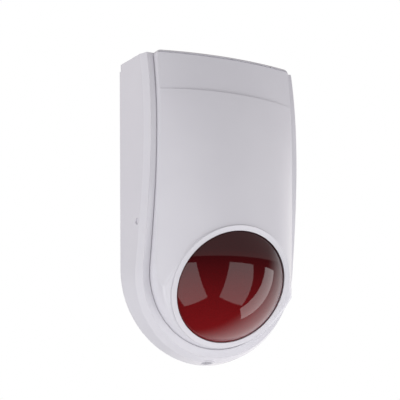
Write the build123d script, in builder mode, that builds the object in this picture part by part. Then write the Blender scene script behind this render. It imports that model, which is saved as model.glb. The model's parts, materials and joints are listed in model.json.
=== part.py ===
from build123d import *
from math import cos, pi, radians, sin, tan
import os

# Outdoor alarm siren with a strobe: a wall plate that carries the horn, battery,
# circuit board and strobe, under a hinged shield-shaped cover.
# X runs to the viewer's right, Y into the wall, Z up.  The origin lies on the
# wall face, in the middle of the four wall screws.  "Depth" is measured out
# from the wall, so a depth d lies at y = -d.

# ---- housing -------------------------------------------------------------
WIDTH = 190.0
HEIGHT = 320.0
WALL = 2.6
SIDE_DRAFT = 3.8          # how much each side leans in, back edge to DRAFT_DEPTH
DRAFT_DEPTH = 65.0
REAR_GAP = 1.2            # between the cover's back edge and the wall
SHOULDER_FOOT = 23.5      # depth of the shoulder along the middle plane
SHOULDER_LOW = 43.0
SHOULDER_HIGH = 60.5
SHOULDER_TOP = 54.0
BAND_WIDTH = 9.5          # sloping band between side wall and panel
BAND_RISE = 3.4

HALF_W = WIDTH / 2
TOP = HEIGHT / 2
FOOT = -HEIGHT / 2
ARC_Z = FOOT + HALF_W     # centre of the half-round foot

# ---- raised front panel ----------------------------------------------------
PANEL_INSET = 14.0
PANEL_EDGE_TOP = 61.5     # depth along the panel's two long edges
PANEL_EDGE_HIGH = 64.5
PANEL_EDGE_MID = 58.0
PANEL_EDGE_LOW = 50.0
PANEL_CROWN_TOP = 71.5    # depth along the panel's middle line
PANEL_CROWN_HIGH = 81.5
PANEL_CROWN_MID = 100.0
PANEL_CROWN_LOW = 106.0
PANEL_MID_RISE = 130.0    # where the middle depths are measured, above the foot
PANEL_FILLET = 4.0
RECESS_HEIGHT = 42.0      # shallow band for a badge, left blank
RECESS_SINK = 2.4
PANEL_LIP = 2.6           # panel stands this far above the top wall
PANEL_CORNER = 6.0
SEAM_WIDTH = 0.9          # fine groove across the panel, level with the top wall
SEAM_DEPTH = 0.9
SEAM_SIDE = 2.4           # groove stops short of the panel's sides
GROOVE_WIDTH = 0.7        # groove round the foot of the panel
GROOVE_DEPTH = 1.0

PANEL_HALF = HALF_W - PANEL_INSET

# ---- lens and its bezel ----------------------------------------------------
LENS_DEPTH = 66.5
LENS_RISE = 73.0          # above the housing's foot
LENS_TILT = 30.0
LENS_RADIUS = 61.3
LENS_DOME = 30.0
LENS_WALL = 2.5
LENS_GAP = 0.3            # between lens and bezel opening
FLANGE_WIDTH = 3.3
FLANGE_THICK = 2.4
SEAL_THICK = 1.0
BEZEL_WIDTH = 6.1
BEZEL_LIP = 3.0
BEZEL_RAISE = 1.6         # bezel stands this proud of the panel
BEZEL_SKIRT = 14.0        # how far the bezel's wall runs back
RETAINER_WIDTH = 7.0
RETAINER_PLATE = 2.4
LENS_SCREW_ANGLES = (6.0, 48.0, 90.0, 132.0, 174.0)
LENS_BOSS_RADIUS = 3.6
LENS_BOSS_BITE = 1.0      # overlap of each boss with the bezel's wall

# ---- wall plate --------------------------------------------------------------
PLATE = 3.0
PLATE_GAP = 1.0           # all round, inside the cover
RIM_HEIGHT = 13.0
RIM_WALL = 2.2
RIM_SETBACK = 1.8         # rim stands in from the plate's edge
WALL_SCREW_X = 140.0
WALL_SCREW_Z = 200.0
WALL_SCREW_HOLE = 2.75
WALL_BOSS_RADIUS = 7.0
WALL_BOSS_HEIGHT = 3.0
LOCK_NOTCH = 22.0         # breaks in the rim, for the lock boss and the hinge
LOCK_NOTCH_HIGH = 31.7
HINGE_NOTCH_SIDE = 4.0
HINGE_NOTCH_HIGH = 15.9
STANDOFF_RADIUS = 3.2
POST_RADIUS = 4.0         # screw posts for the strap and the strobe legs
STRAP_POST = 5.0
LEG_POST = 4.0
EAR_FOOT = 14.0           # length of a hinge ear
CABLE_X = -74.0
CABLE_Z = -8.0
CABLE_HOLE = 9.0
GROMMET_WALL = 3.0
GROMMET_LIP = 2.0

# ---- hinge --------------------------------------------------------------------
HINGE_DEPTH = 7.0
HINGE_DROP = 6.0
HINGE_PIN = 1.5
HINGE_PLAY = 0.08
HINGE_X = 56.0
KNUCKLE_WIDTH = 6.0
KNUCKLE_GAP = 1.0
EAR_WIDTH = 4.0
EAR_RADIUS = 3.0
COVER_TOP_GAP = 3.5       # cover's back edge along the top, so that it can swing

# ---- lock screw ---------------------------------------------------------------
LOCK_DEPTH = 12.0
LOCK_RECESS = 6.0
LOCK_RECESS_DEEP = 8.0
LOCK_BOSS = 8.0
LOCK_BOSS_ROOF = 4.0
LOCK_SHANK = 1.95
LOCK_FIT = 0.05
LOCK_HEAD = 4.0
LOCK_HEAD_THICK = 2.6
LOCK_WASHER = 4.8
LOCK_WASHER_THICK = 1.0
LOCK_REACH = 13.0
INSERT_RADIUS = 2.9
TAB_GAP = 1.0
TAB_THICK = 6.0
TAB_WIDTH = 20.0

# ---- horn and driver ----------------------------------------------------------
HORN_MOUTH_X = 90.0
HORN_MOUTH_Y = 42.0
HORN_DEPTH = 33.0         # depth of the horn's axis
HORN_DROP = 26.0          # mouth of the horn, below the top wall
HORN_LENGTH = 70.0
HORN_WALL = 2.0
HORN_THROAT = 13.0
DRIVER_RADIUS = 29.0
DRIVER_CUP = 15.0
MAGNET_RADIUS = 26.0
MAGNET_THICK = 12.0
YOKE_RADIUS = 22.0
YOKE_THICK = 5.0
SADDLE_SCREW = 39.0
SADDLE_SIDE = 4.0         # saddle's width beyond the driver, each side
SADDLE_HALF = 5.0
SADDLE_FOOT = (12.0, 10.0, 3.0)
HORN_CORNER = 8.0
HORN_FLANGE = 3.0
CUP_WALL = 5.0
CUP_FLOOR = 3.0
CUP_TAG = (8.0, 5.0, 9.0) # terminal tag on the driver cup
CUP_TAG_X = -30.0
CUP_TAG_DEPTH = 43.0
DIAPHRAGM_DROP = 4.0
DIAPHRAGM_DOME = 13.0
DIAPHRAGM_THICK = 1.0
DOME_TAPER = 20
CUP_PLAY = 0.05           # round the diaphragm and the driver
MAGNET_EDGE = 1.0
YOKE_EDGE = 2.0

# ---- battery --------------------------------------------------------------------
BATTERY_X = 97.0
BATTERY_Y = 43.0
BATTERY_Z = 52.0
BATTERY_BASE = -32.0      # height of its underside
BATTERY_LIFT = 4.5        # depth of its back face
BATTERY_CORNER = 2.0
BATTERY_EDGE = 1.2
CRADLE_GAP = 0.6
CRADLE_WALL = 2.2
CRADLE_HEIGHT = 20.0
CRADLE_BREAK = 48.5       # gap in the cradle's long sides
BATTERY_PAD = 3.0         # ribs under the battery
BATTERY_PAD_PITCH = 58.0
BATTERY_TAB_X = 35.0      # terminal tabs, from the battery's middle and back
BATTERY_TAB_DEPTH = 30.1
BATTERY_TAB = (0.8, 4.8, 6.0)
STRAP_REACH = 5.0         # strap foot beyond its screw
STRAP_SIDE = 1.0          # strap stands off the cradle
STRAP_WIDTH = 18.0
STRAP_THICK = 1.2
STRAP_HALF = BATTERY_X / 2 + CRADLE_GAP + CRADLE_WALL + STRAP_SIDE

# ---- circuit board ---------------------------------------------------------------
BOARD_X = 110.0
BOARD_Z = 80.0
BOARD_THICK = 1.6
BOARD_LIFT = 9.0          # depth of its back face
BOARD_RISE = 80.0         # middle of the board, above the foot
BOARD_HOLE_INSET = 5.0
TERMINAL_X = -22.0        # from the board's centre
TERMINAL_Z = -34.0
CAPACITOR_HEIGHT = 12.0
CAPACITORS = ((-40.0, 8.0, 5.0), (-40.0, -6.0, 5.0), (-24.0, 4.0, 4.0))

# ---- strobe ----------------------------------------------------------------------
STROBE_BACK = 30.0        # platform behind the bezel plane
STROBE_RADIUS = 38.0
PLATFORM_X = 122.0
PLATFORM_Y = 50.0
PLATFORM_THICK = 2.4
LEG_Z = 20.0
REFLECTOR_RADIUS = 35.0
REFLECTOR_THROAT = 12.0
REFLECTOR_HEIGHT = 13.0
REFLECTOR_WALL = 1.4
STROBE_SCREW_X = 84.0
LED_RADIUS = 2.5
LED_HEIGHT = 4.0
LED_SPOTS = ((0.0, 0.0), (7.0, 0.0), (-7.0, 0.0), (0.0, 7.0), (0.0, -7.0))

# ---- tamper switch -----------------------------------------------------------------
TAMPER_X = 74.0
TAMPER_Z = 14.0
TAMPER_TIP = 34.0         # depth of the plunger's tip with the cover shut
TAMPER_BODY = 8.0
TAMPER_STROKE_ROOM = 5.0  # length of stem inside the switch
CONTACT_GAP = 0.1         # between the cover's post and the plunger
TAMPER_STEM = 2.0
TAMPER_CAP = 3.4
TAMPER_SEAT = 14.0        # depth of the post's top

# ---- leads: hand-chosen points of each route ------------------------------------------
LEAD_RADIUS = 1.1
HORN_LEAD = [(-31, -43, 52), (-31, -43, 42), (-37, -41.5, 34), (-48, -36, 27), (-56, -31, 16), (-57.5,
             -28, 2),
             (-57.5, -29, -13), (-56, -31, -26), (-52, -33, -38), (-45.5, -32.5, -46), (-40, -26, -50),
             (-40, -17.6, -50)]
STROBE_LEAD = [(18, -56.02, -45.15), (18, -47.36, -40.15), (21, -37.5, -40.5), (20, -30, -46), (18, -25,
               -49),
               (18, -17.6, -49)]
RED_LEAD = [(-34.6, -34.6, 23.5), (-22, -34.6, 23.5), (-8, -37, 25), (8, -40.5, 25.5), (24, -42.5, 25),
            (39, -42, 25.5), (51, -38, 21), (60, -32, 9), (62.5, -29.5, -6), (61, -30, -21), (56.5, -30,
                    -34),
            (52, -27.5, -43.5), (50, -20, -50), (50, -10.6, -50)]
BLACK_LEAD = [(35.4, -34.6, 23.5), (47, -34.6, 23.5), (56, -30, 16), (58.5, -27, 2), (58.5, -26, -14),
              (54, -27, -31), (47, -27, -43), (44.5, -20, -50), (44.5, -10.6, -50)]

# ---- fasteners --------------------------------------------------------------------------
SCREW_PLAY = 0.15
SELF_TAPPER = 1.4         # radius of every self-tapping screw
TAPPER_HEAD = 2.8
TAPPER_HEAD_THICK = 1.8
TAPPER_LENGTH = 6.0
HEAD_ROUNDING = 0.4       # shares of the head's thickness and radius
CROSS_SPAN = 1.1
CROSS_WIDTH = 0.24
CROSS_SINK = 0.55
LENS_SCREW_LENGTH = 9.0
LENS_PILOT_DEEP = 7.7
SADDLE_SCREW_LENGTH = 5.0
SADDLE_PILOT_DEEP = 2.0
STROBE_SCREW_LENGTH = 3.8
BOARD_SCREW = 1.2
BOARD_SCREW_HEAD = 2.4
BOARD_SCREW_HEAD_THICK = 1.6
BOARD_SCREW_LENGTH = 5.0
TERMINAL_DEEP = 8.0       # terminal block
TERMINAL_HIGH = 10.0
TERMINAL_WELL = 4.0
TERMINAL_SCREW = 1.75
TERMINAL_SCREW_HIGH = 2.6
TERMINAL_SLOT = 0.6
TERMINAL_SLOT_DEEP = 0.8
WIRE_ENTRY = (3.4, 3.6)
WIRE_ENTRY_LIFT = 3.2
WIRE_ENTRY_DEEP = 4.5
BOARD_CORNER = 2.0
CAPACITOR_EDGE = 0.5
LEG_FOOT = 14.0           # foot of a strobe leg
LEG_FOOT_X = 5.5
LEG_SCREW_X = 7.0
STROBE_HOLE = 5.0
LED_RIM = 0.4
LED_BASE = 1.0
LED_ROUNDING = 0.7
TAMPER_CASE = (12.0, 9.0)
TAMPER_CORNER = 1.0
TAMPER_FLOOR = 1.5
TAMPER_CAP_THICK = 2.0
TAMPER_CAP_EDGE = 0.8
STEM_PLAY = 0.08
COIL_WIRE = 0.3
BEND_SHARE = 0.45         # of the shorter run beside a lead's bend
TAB_SLOT_PLAY = 0.35

# ---- small features of the cover ------------------------------------------------------
SLOT_PITCH = 10.0
SLOT_COUNT = 8
SLOT_LENGTH = 26.0
SLOT_WIDTH = 3.0
DIMPLE_DEPTH = 37.0
DIMPLE_Z = -20.0
DIMPLE_RADIUS = 3.4
DIMPLE_SINK = 1.3

TILT = radians(LENS_TILT)
LENS_AXIS = (0, -cos(TILT), -sin(TILT))
LENS_CENTRE = (0, -LENS_DEPTH, FOOT + LENS_RISE)
LENS_PLANE = Plane(origin=LENS_CENTRE, x_dir=(1, 0, 0), z_dir=LENS_AXIS)
LENS_SECTION = Plane(origin=LENS_CENTRE, x_dir=(1, 0, 0), z_dir=(0, sin(TILT), -cos(TILT)))
LENS_TURN = Axis(LENS_CENTRE, LENS_AXIS)
BEZEL_RADIUS = LENS_RADIUS + BEZEL_WIDTH
PANEL_MID_Z = FOOT + PANEL_MID_RISE
BOARD_CENTRE_Z = FOOT + BOARD_RISE
HINGE_Z = TOP - HINGE_DROP
LOCK_ROOF = FOOT + LOCK_RECESS_DEEP       # ceiling of the lock screw's recess
TAB_FOOT = LOCK_ROOF + LOCK_BOSS_ROOF + TAB_GAP

os.makedirs("parts", exist_ok=True)


def finish(piece, name):
    """Label a finished piece and write it."""
    piece.part.label = name
    export_step(piece.part, "parts/" + name + ".step")


def wall_plane(depth):
    """Plane parallel to the wall whose normal points at the viewer."""
    return Plane.XZ.offset(depth)


def shield(half_width, top, centre=ARC_Z, corner=0.0):
    """Outline with a flat top, straight sides and a half-round foot."""
    with BuildSketch() as outline:
        with BuildLine():
            Polyline((-half_width, centre), (-half_width, top), (half_width, top), (half_width, centre))
            ThreePointArc((half_width, centre), (0, centre - half_width), (-half_width, centre))
        make_face()
        if corner:
            fillet(outline.vertices().group_by(Axis.Y)[-1], radius=corner)
    return outline.sketch


def bowed_slice(half_width, edge, crown, back):
    """Level slice, square at the back depth and bowed from its edges to its crown."""
    with BuildSketch() as outline:
        with BuildLine():
            Polyline((-half_width, -edge), (-half_width, -back), (half_width, -back), (half_width, -edge))
            ThreePointArc((half_width, -edge), (0, -crown), (-half_width, -edge))
        make_face()
    return outline.sketch


def panel_form(inset, head, rounding=0.0):
    """Solid form of the crowned panel up to its head, cut off square to the lens."""
    half = PANEL_HALF - inset
    back = SHOULDER_FOOT - BAND_WIDTH
    stations = (
        (FOOT, PANEL_EDGE_LOW, PANEL_CROWN_LOW),
        (PANEL_MID_Z, PANEL_EDGE_MID, PANEL_CROWN_MID),
        (TOP - RECESS_HEIGHT, PANEL_EDGE_HIGH, PANEL_CROWN_HIGH),
        (head, PANEL_EDGE_TOP, PANEL_CROWN_TOP),
    )
    with BuildPart() as form:
        for z, edge, crown in stations:
            with BuildSketch(Plane.XY.offset(z)):
                add(bowed_slice(half, edge - inset, crown - inset, back))
        loft()
        with BuildSketch(wall_plane(back)):
            add(shield(half, head, corner=PANEL_CORNER))
        extrude(amount=2 * PANEL_CROWN_LOW, mode=Mode.INTERSECT)
        with BuildSketch(LENS_PLANE.offset(-inset)):
            Rectangle(2 * WIDTH, 2 * WIDTH)
        extrude(amount=WIDTH, mode=Mode.SUBTRACT)
        if rounding:
            crown, cut = form.faces().sort_by(Axis.Y)[:2]
            fillet(set(crown.edges() + cut.edges()), radius=rounding)
    return form.part


def recess_form():
    """What is taken off the top of the panel for the shallow badge band, fading out at its sides."""
    with BuildPart() as form:
        with BuildSketch(Plane.XY.offset(TOP - RECESS_HEIGHT)):
            add(bowed_slice(PANEL_HALF, PANEL_EDGE_HIGH, PANEL_CROWN_HIGH - RECESS_SINK, WIDTH))
        with BuildSketch(Plane.XY.offset(TOP)):
            add(bowed_slice(PANEL_HALF, PANEL_EDGE_TOP, PANEL_CROWN_TOP, WIDTH))
        loft(ruled=True)
    return form.part


def groove_form():
    """Fine groove that runs round the foot of the panel, down to a set depth in the shell."""
    with BuildPart() as form:
        with BuildSketch(wall_plane(0)):
            add(shield(PANEL_HALF + GROOVE_WIDTH, TOP - WALL))
            add(shield(PANEL_HALF, TOP), mode=Mode.SUBTRACT)
        extrude(amount=PANEL_EDGE_HIGH)
        add(shell_form(GROOVE_DEPTH), mode=Mode.SUBTRACT)
    return form.part


def seam_form():
    """Thin bowed plate that cuts the fine groove across the top of the panel."""
    with BuildPart() as form:
        with BuildSketch(Plane.XY.offset(TOP - SEAM_WIDTH)):
            add(bowed_slice(PANEL_HALF, PANEL_EDGE_TOP - SEAM_DEPTH, PANEL_CROWN_TOP - SEAM_DEPTH, WIDTH))
        extrude(amount=SEAM_WIDTH)
        with BuildSketch(Plane.XY.offset(TOP - SEAM_WIDTH)):
            Rectangle(2 * (PANEL_HALF - SEAM_SIDE), 4 * WIDTH)
        extrude(amount=SEAM_WIDTH, mode=Mode.INTERSECT)
    return form.part


def shell_form(inset):
    """Solid form of the drafted shell up to its shoulder."""
    with BuildPart() as form:
        with BuildSketch(wall_plane(0)):
            add(shield(HALF_W - inset, TOP - inset))
        with BuildSketch(wall_plane(DRAFT_DEPTH)):
            add(shield(HALF_W - SIDE_DRAFT - inset, TOP - inset))
        loft(ruled=True)
        with BuildSketch(Plane.YZ):
            with BuildLine():
                Spline((-SHOULDER_FOOT + inset, FOOT), (-SHOULDER_LOW + inset, ARC_Z),
                       (-SHOULDER_HIGH + inset, TOP - HEIGHT / 3), (-SHOULDER_TOP + inset, TOP))
                Polyline((-SHOULDER_TOP + inset, TOP), (-WIDTH, TOP), (-WIDTH, FOOT),
                         (-SHOULDER_FOOT + inset, FOOT))
            make_face()
        extrude(amount=WIDTH, both=True, mode=Mode.SUBTRACT)
        front = form.faces().sort_by(Axis.Y)[0]
        chamfer(front.edges().sort_by(Axis.Z)[:-1], length=BAND_RISE, length2=BAND_WIDTH, reference=front)
    return form.part


def bezel_form(inset, front):
    """Round wall of the lens bezel, square to the tilted lens."""
    with BuildPart() as form:
        with BuildSketch(LENS_PLANE.offset(front)):
            Circle(BEZEL_RADIUS - inset)
        extrude(amount=-(BEZEL_SKIRT + front))
    return form.part


def ring(plane, outer, inner, thick):
    """Flat ring standing on a plane, as a finished solid."""
    with BuildPart() as piece:
        with BuildSketch(plane):
            Circle(outer)
            Circle(inner, mode=Mode.SUBTRACT)
        extrude(amount=thick)
    return piece.part


def around_lens(radius, angle, height):
    """Plane parallel to the bezel, centred on a point around the lens."""
    x = radius * cos(radians(angle))
    y = radius * sin(radians(angle))
    return Plane(origin=LENS_PLANE.offset(height).from_local_coords((x, y, 0)),
                 x_dir=LENS_PLANE.x_dir, z_dir=LENS_PLANE.z_dir)


def pan_screw(plane, radius, length, head, head_thick):
    """Cross-head screw: the plane is under its head, and the shank runs backwards."""
    with BuildPart() as screw:
        with BuildSketch(plane):
            Circle(head)
        extrude(amount=head_thick)
        fillet(screw.edges().group_by(SortBy.LENGTH)[-1].sort_by(Axis(plane.origin, plane.z_dir))[-1:],
               radius=head_thick * HEAD_ROUNDING)
        with BuildSketch(plane):
            Circle(radius)
        extrude(amount=-length)
        with BuildSketch(plane.offset(head_thick)):
            Rectangle(head * CROSS_SPAN, head * CROSS_WIDTH)
            Rectangle(head * CROSS_WIDTH, head * CROSS_SPAN)
        extrude(amount=-head_thick * CROSS_SINK, mode=Mode.SUBTRACT)
    return screw.part


def make_screw(name, plane, radius, length, head, head_thick):
    """Write one screw under its own name."""
    with BuildPart() as screw:
        add(pan_screw(plane, radius, length, head, head_thick))
    finish(screw, name)


# ---- cover -------------------------------------------------------------------
LENS_BOSS_SPOT = BEZEL_RADIUS + LENS_BOSS_RADIUS - LENS_BOSS_BITE
with BuildPart() as lens_bosses:
    for angle in LENS_SCREW_ANGLES:
        with BuildSketch(around_lens(LENS_BOSS_SPOT, angle, -BEZEL_SKIRT)):
            Circle(LENS_BOSS_RADIUS)
        extrude(amount=BEZEL_SKIRT + BEZEL_RAISE)
    add(panel_form(WALL / 2, TOP - WALL / 2), mode=Mode.INTERSECT)

with BuildPart() as cover_shell:
    add(shell_form(0))
    add(groove_form(), mode=Mode.SUBTRACT)
    add(panel_form(0, TOP + PANEL_LIP, PANEL_FILLET))
    add(bezel_form(0, BEZEL_RAISE))
    add(recess_form(), mode=Mode.SUBTRACT)
    add(seam_form(), mode=Mode.SUBTRACT)
    add(shell_form(WALL), mode=Mode.SUBTRACT)
    add(panel_form(WALL, TOP - WALL), mode=Mode.SUBTRACT)
    add(bezel_form(WALL, -BEZEL_LIP), mode=Mode.SUBTRACT)
    add(ring(LENS_PLANE.offset(-BEZEL_SKIRT), BEZEL_RADIUS, BEZEL_RADIUS - WALL, BEZEL_SKIRT))
    add(lens_bosses.part)
    for angle in LENS_SCREW_ANGLES:
        with BuildSketch(around_lens(LENS_BOSS_SPOT, angle, -BEZEL_SKIRT)):
            Circle(SELF_TAPPER)
        extrude(amount=LENS_PILOT_DEEP, mode=Mode.SUBTRACT)
    with BuildSketch(LENS_PLANE.offset(BEZEL_RAISE)):
        Circle(LENS_RADIUS + LENS_GAP)
    extrude(amount=-(BEZEL_RAISE + BEZEL_LIP + SEAL_THICK), mode=Mode.SUBTRACT)
    # back edge stands off the wall, further along the top so that the cover can swing
    with BuildSketch(wall_plane(0)):
        Rectangle(2 * WIDTH, 2 * HEIGHT)
    extrude(amount=REAR_GAP, mode=Mode.SUBTRACT)
    with BuildSketch(wall_plane(0)):
        with Locations((0, TOP)):
            Rectangle(2 * WIDTH, 2 * (HINGE_DROP + HINGE_PIN))
    extrude(amount=COVER_TOP_GAP, mode=Mode.SUBTRACT)
    # hinge knuckles under the top wall
    for side in (-1, 1):
        with BuildSketch(Plane.YZ.offset(side * HINGE_X)):
            with Locations((-HINGE_DEPTH, HINGE_Z)):
                Circle(EAR_RADIUS)
            with Locations((-HINGE_DEPTH, HINGE_Z + HINGE_DROP / 2)):
                Rectangle(2 * EAR_RADIUS, HINGE_DROP - 1)
            with Locations((-HINGE_DEPTH, HINGE_Z)):
                Circle(HINGE_PIN + HINGE_PLAY, mode=Mode.SUBTRACT)
        extrude(amount=KNUCKLE_WIDTH / 2, both=True)
    # boss and recess for the lock screw
    with BuildSketch(Plane.XY.offset(LOCK_ROOF + LOCK_BOSS_ROOF)):
        with Locations((0, -LOCK_DEPTH)):
            Circle(LOCK_BOSS)
    extrude(amount=-(LOCK_RECESS_DEEP + LOCK_BOSS_ROOF - WALL / 2))
    with BuildSketch(Plane.XY.offset(LOCK_ROOF)):
        with Locations((0, -LOCK_DEPTH)):
            Circle(LOCK_RECESS)
    extrude(amount=-2 * LOCK_RECESS_DEEP, mode=Mode.SUBTRACT)
    with BuildSketch(Plane.XY.offset(FOOT)):
        with Locations((0, -LOCK_DEPTH)):
            Circle(LOCK_SHANK + SCREW_PLAY)
    extrude(amount=LOCK_RECESS_DEEP + 2 * LOCK_BOSS_ROOF, mode=Mode.SUBTRACT)
    # post that presses the tamper plunger
    with BuildSketch(wall_plane(TAMPER_TIP)):
        with Locations((TAMPER_X, TAMPER_Z)):
            Circle(TAMPER_CAP)
    extrude(until=Until.NEXT)
    # sound slots in the top wall, over the horn's mouth
    with BuildSketch(Plane.XY.offset(TOP + 1)):
        with Locations((0, -HORN_DEPTH)):
            with GridLocations(SLOT_PITCH, 0, SLOT_COUNT, 1):
                SlotOverall(SLOT_LENGTH, SLOT_WIDTH, rotation=90)
    extrude(amount=-(WALL + 2), mode=Mode.SUBTRACT)
    # dimple on each side where the moulding is located
    for side in (-1, 1):
        with Locations((side * (HALF_W - SIDE_DRAFT * DIMPLE_DEPTH / DRAFT_DEPTH), -DIMPLE_DEPTH, DIMPLE_Z)):
            Cylinder(DIMPLE_RADIUS, 2 * DIMPLE_SINK, rotation=(0, 90, 0), mode=Mode.SUBTRACT)
finish(cover_shell, "cover_shell")

# ---- lens, seal and retainer ---------------------------------------------------
SEAT = -BEZEL_LIP - SEAL_THICK          # front face of the lens flange
FLANGE_RADIUS = LENS_RADIUS + FLANGE_WIDTH
INNER_RADIUS = LENS_RADIUS - LENS_WALL
DOME_SPHERE = (LENS_RADIUS ** 2 + LENS_DOME ** 2) / (2 * LENS_DOME)
HOLLOW_DOME = LENS_DOME - LENS_WALL
HOLLOW_SPHERE = (INNER_RADIUS ** 2 + HOLLOW_DOME ** 2) / (2 * HOLLOW_DOME)
with BuildPart() as strobe_lens:
    with BuildSketch(LENS_SECTION):
        with BuildLine():
            RadiusArc((0, LENS_DOME), (LENS_RADIUS, 0), DOME_SPHERE)
            Polyline((LENS_RADIUS, 0), (LENS_RADIUS, SEAT), (FLANGE_RADIUS, SEAT),
                     (FLANGE_RADIUS, SEAT - FLANGE_THICK), (INNER_RADIUS, SEAT - FLANGE_THICK),
                     (INNER_RADIUS, 0))
            RadiusArc((INNER_RADIUS, 0), (0, HOLLOW_DOME), -HOLLOW_SPHERE)
            Line((0, HOLLOW_DOME), (0, LENS_DOME))
        make_face()
    revolve(axis=LENS_TURN)
finish(strobe_lens, "strobe_lens")

with BuildPart() as lens_seal:
    add(ring(LENS_PLANE.offset(SEAT), FLANGE_RADIUS, LENS_RADIUS + LENS_GAP, SEAL_THICK))
finish(lens_seal, "lens_seal")

with BuildPart() as lens_retainer:
    add(ring(LENS_PLANE.offset(-BEZEL_SKIRT - RETAINER_PLATE), FLANGE_RADIUS, FLANGE_RADIUS - RETAINER_WIDTH,
             RETAINER_PLATE))
    add(ring(LENS_PLANE.offset(-BEZEL_SKIRT), FLANGE_RADIUS, FLANGE_RADIUS - WALL,
             BEZEL_SKIRT + SEAT - FLANGE_THICK))
    for angle in LENS_SCREW_ANGLES:
        with BuildSketch(around_lens(LENS_BOSS_SPOT, angle, -BEZEL_SKIRT)):
            Circle(LENS_BOSS_RADIUS)
            with Locations(Location((0, 0), angle)):
                with Locations((-LENS_BOSS_RADIUS, 0)):
                    Rectangle(2 * LENS_BOSS_RADIUS + 4, 2 * LENS_BOSS_RADIUS)
            Circle(SELF_TAPPER + SCREW_PLAY, mode=Mode.SUBTRACT)
        extrude(amount=-RETAINER_PLATE)
finish(lens_retainer, "lens_retainer")

for index, angle in enumerate(LENS_SCREW_ANGLES, start=1):
    under_head = around_lens(LENS_BOSS_SPOT, angle, -BEZEL_SKIRT - RETAINER_PLATE)
    backwards = Plane(origin=under_head.origin, x_dir=under_head.x_dir, z_dir=-under_head.z_dir)
    make_screw(f"lens_screw_{index}", backwards, SELF_TAPPER, LENS_SCREW_LENGTH, TAPPER_HEAD,
               TAPPER_HEAD_THICK)

# ---- wall plate ------------------------------------------------------------------
PLATE_HALF = HALF_W - WALL - PLATE_GAP
RIM_HALF = PLATE_HALF - RIM_SETBACK
PLATE_TOP = HINGE_Z - EAR_RADIUS - PLATE_GAP
EAR_SPOT = HINGE_X - KNUCKLE_WIDTH / 2 - KNUCKLE_GAP - EAR_WIDTH / 2
EAR_OUTER_SPOT = HINGE_X + KNUCKLE_WIDTH / 2 + KNUCKLE_GAP + EAR_WIDTH / 2
WALL_HOLES = [(x, z) for x in (-WALL_SCREW_X / 2, WALL_SCREW_X / 2) for z in (-WALL_SCREW_Z / 2,
              WALL_SCREW_Z / 2)]
BOARD_HOLES = [(x, BOARD_CENTRE_Z + z) for x in (-BOARD_X / 2 + BOARD_HOLE_INSET,
               BOARD_X / 2 - BOARD_HOLE_INSET)
               for z in (-BOARD_Z / 2 + BOARD_HOLE_INSET, BOARD_Z / 2 - BOARD_HOLE_INSET)]
STRAP_SPOT = STRAP_HALF + STRAP_REACH
STRAP_Z = BATTERY_BASE + BATTERY_Z / 2
HORN_TOP = TOP - HORN_DROP
HORN_FOOT = HORN_TOP - HORN_LENGTH
SADDLE_Z = HORN_FOOT - DRIVER_CUP / 2
LEG_SPOT = PLATFORM_X / 2
PLATFORM_CENTRE = LENS_PLANE.offset(-STROBE_BACK).origin
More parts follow.
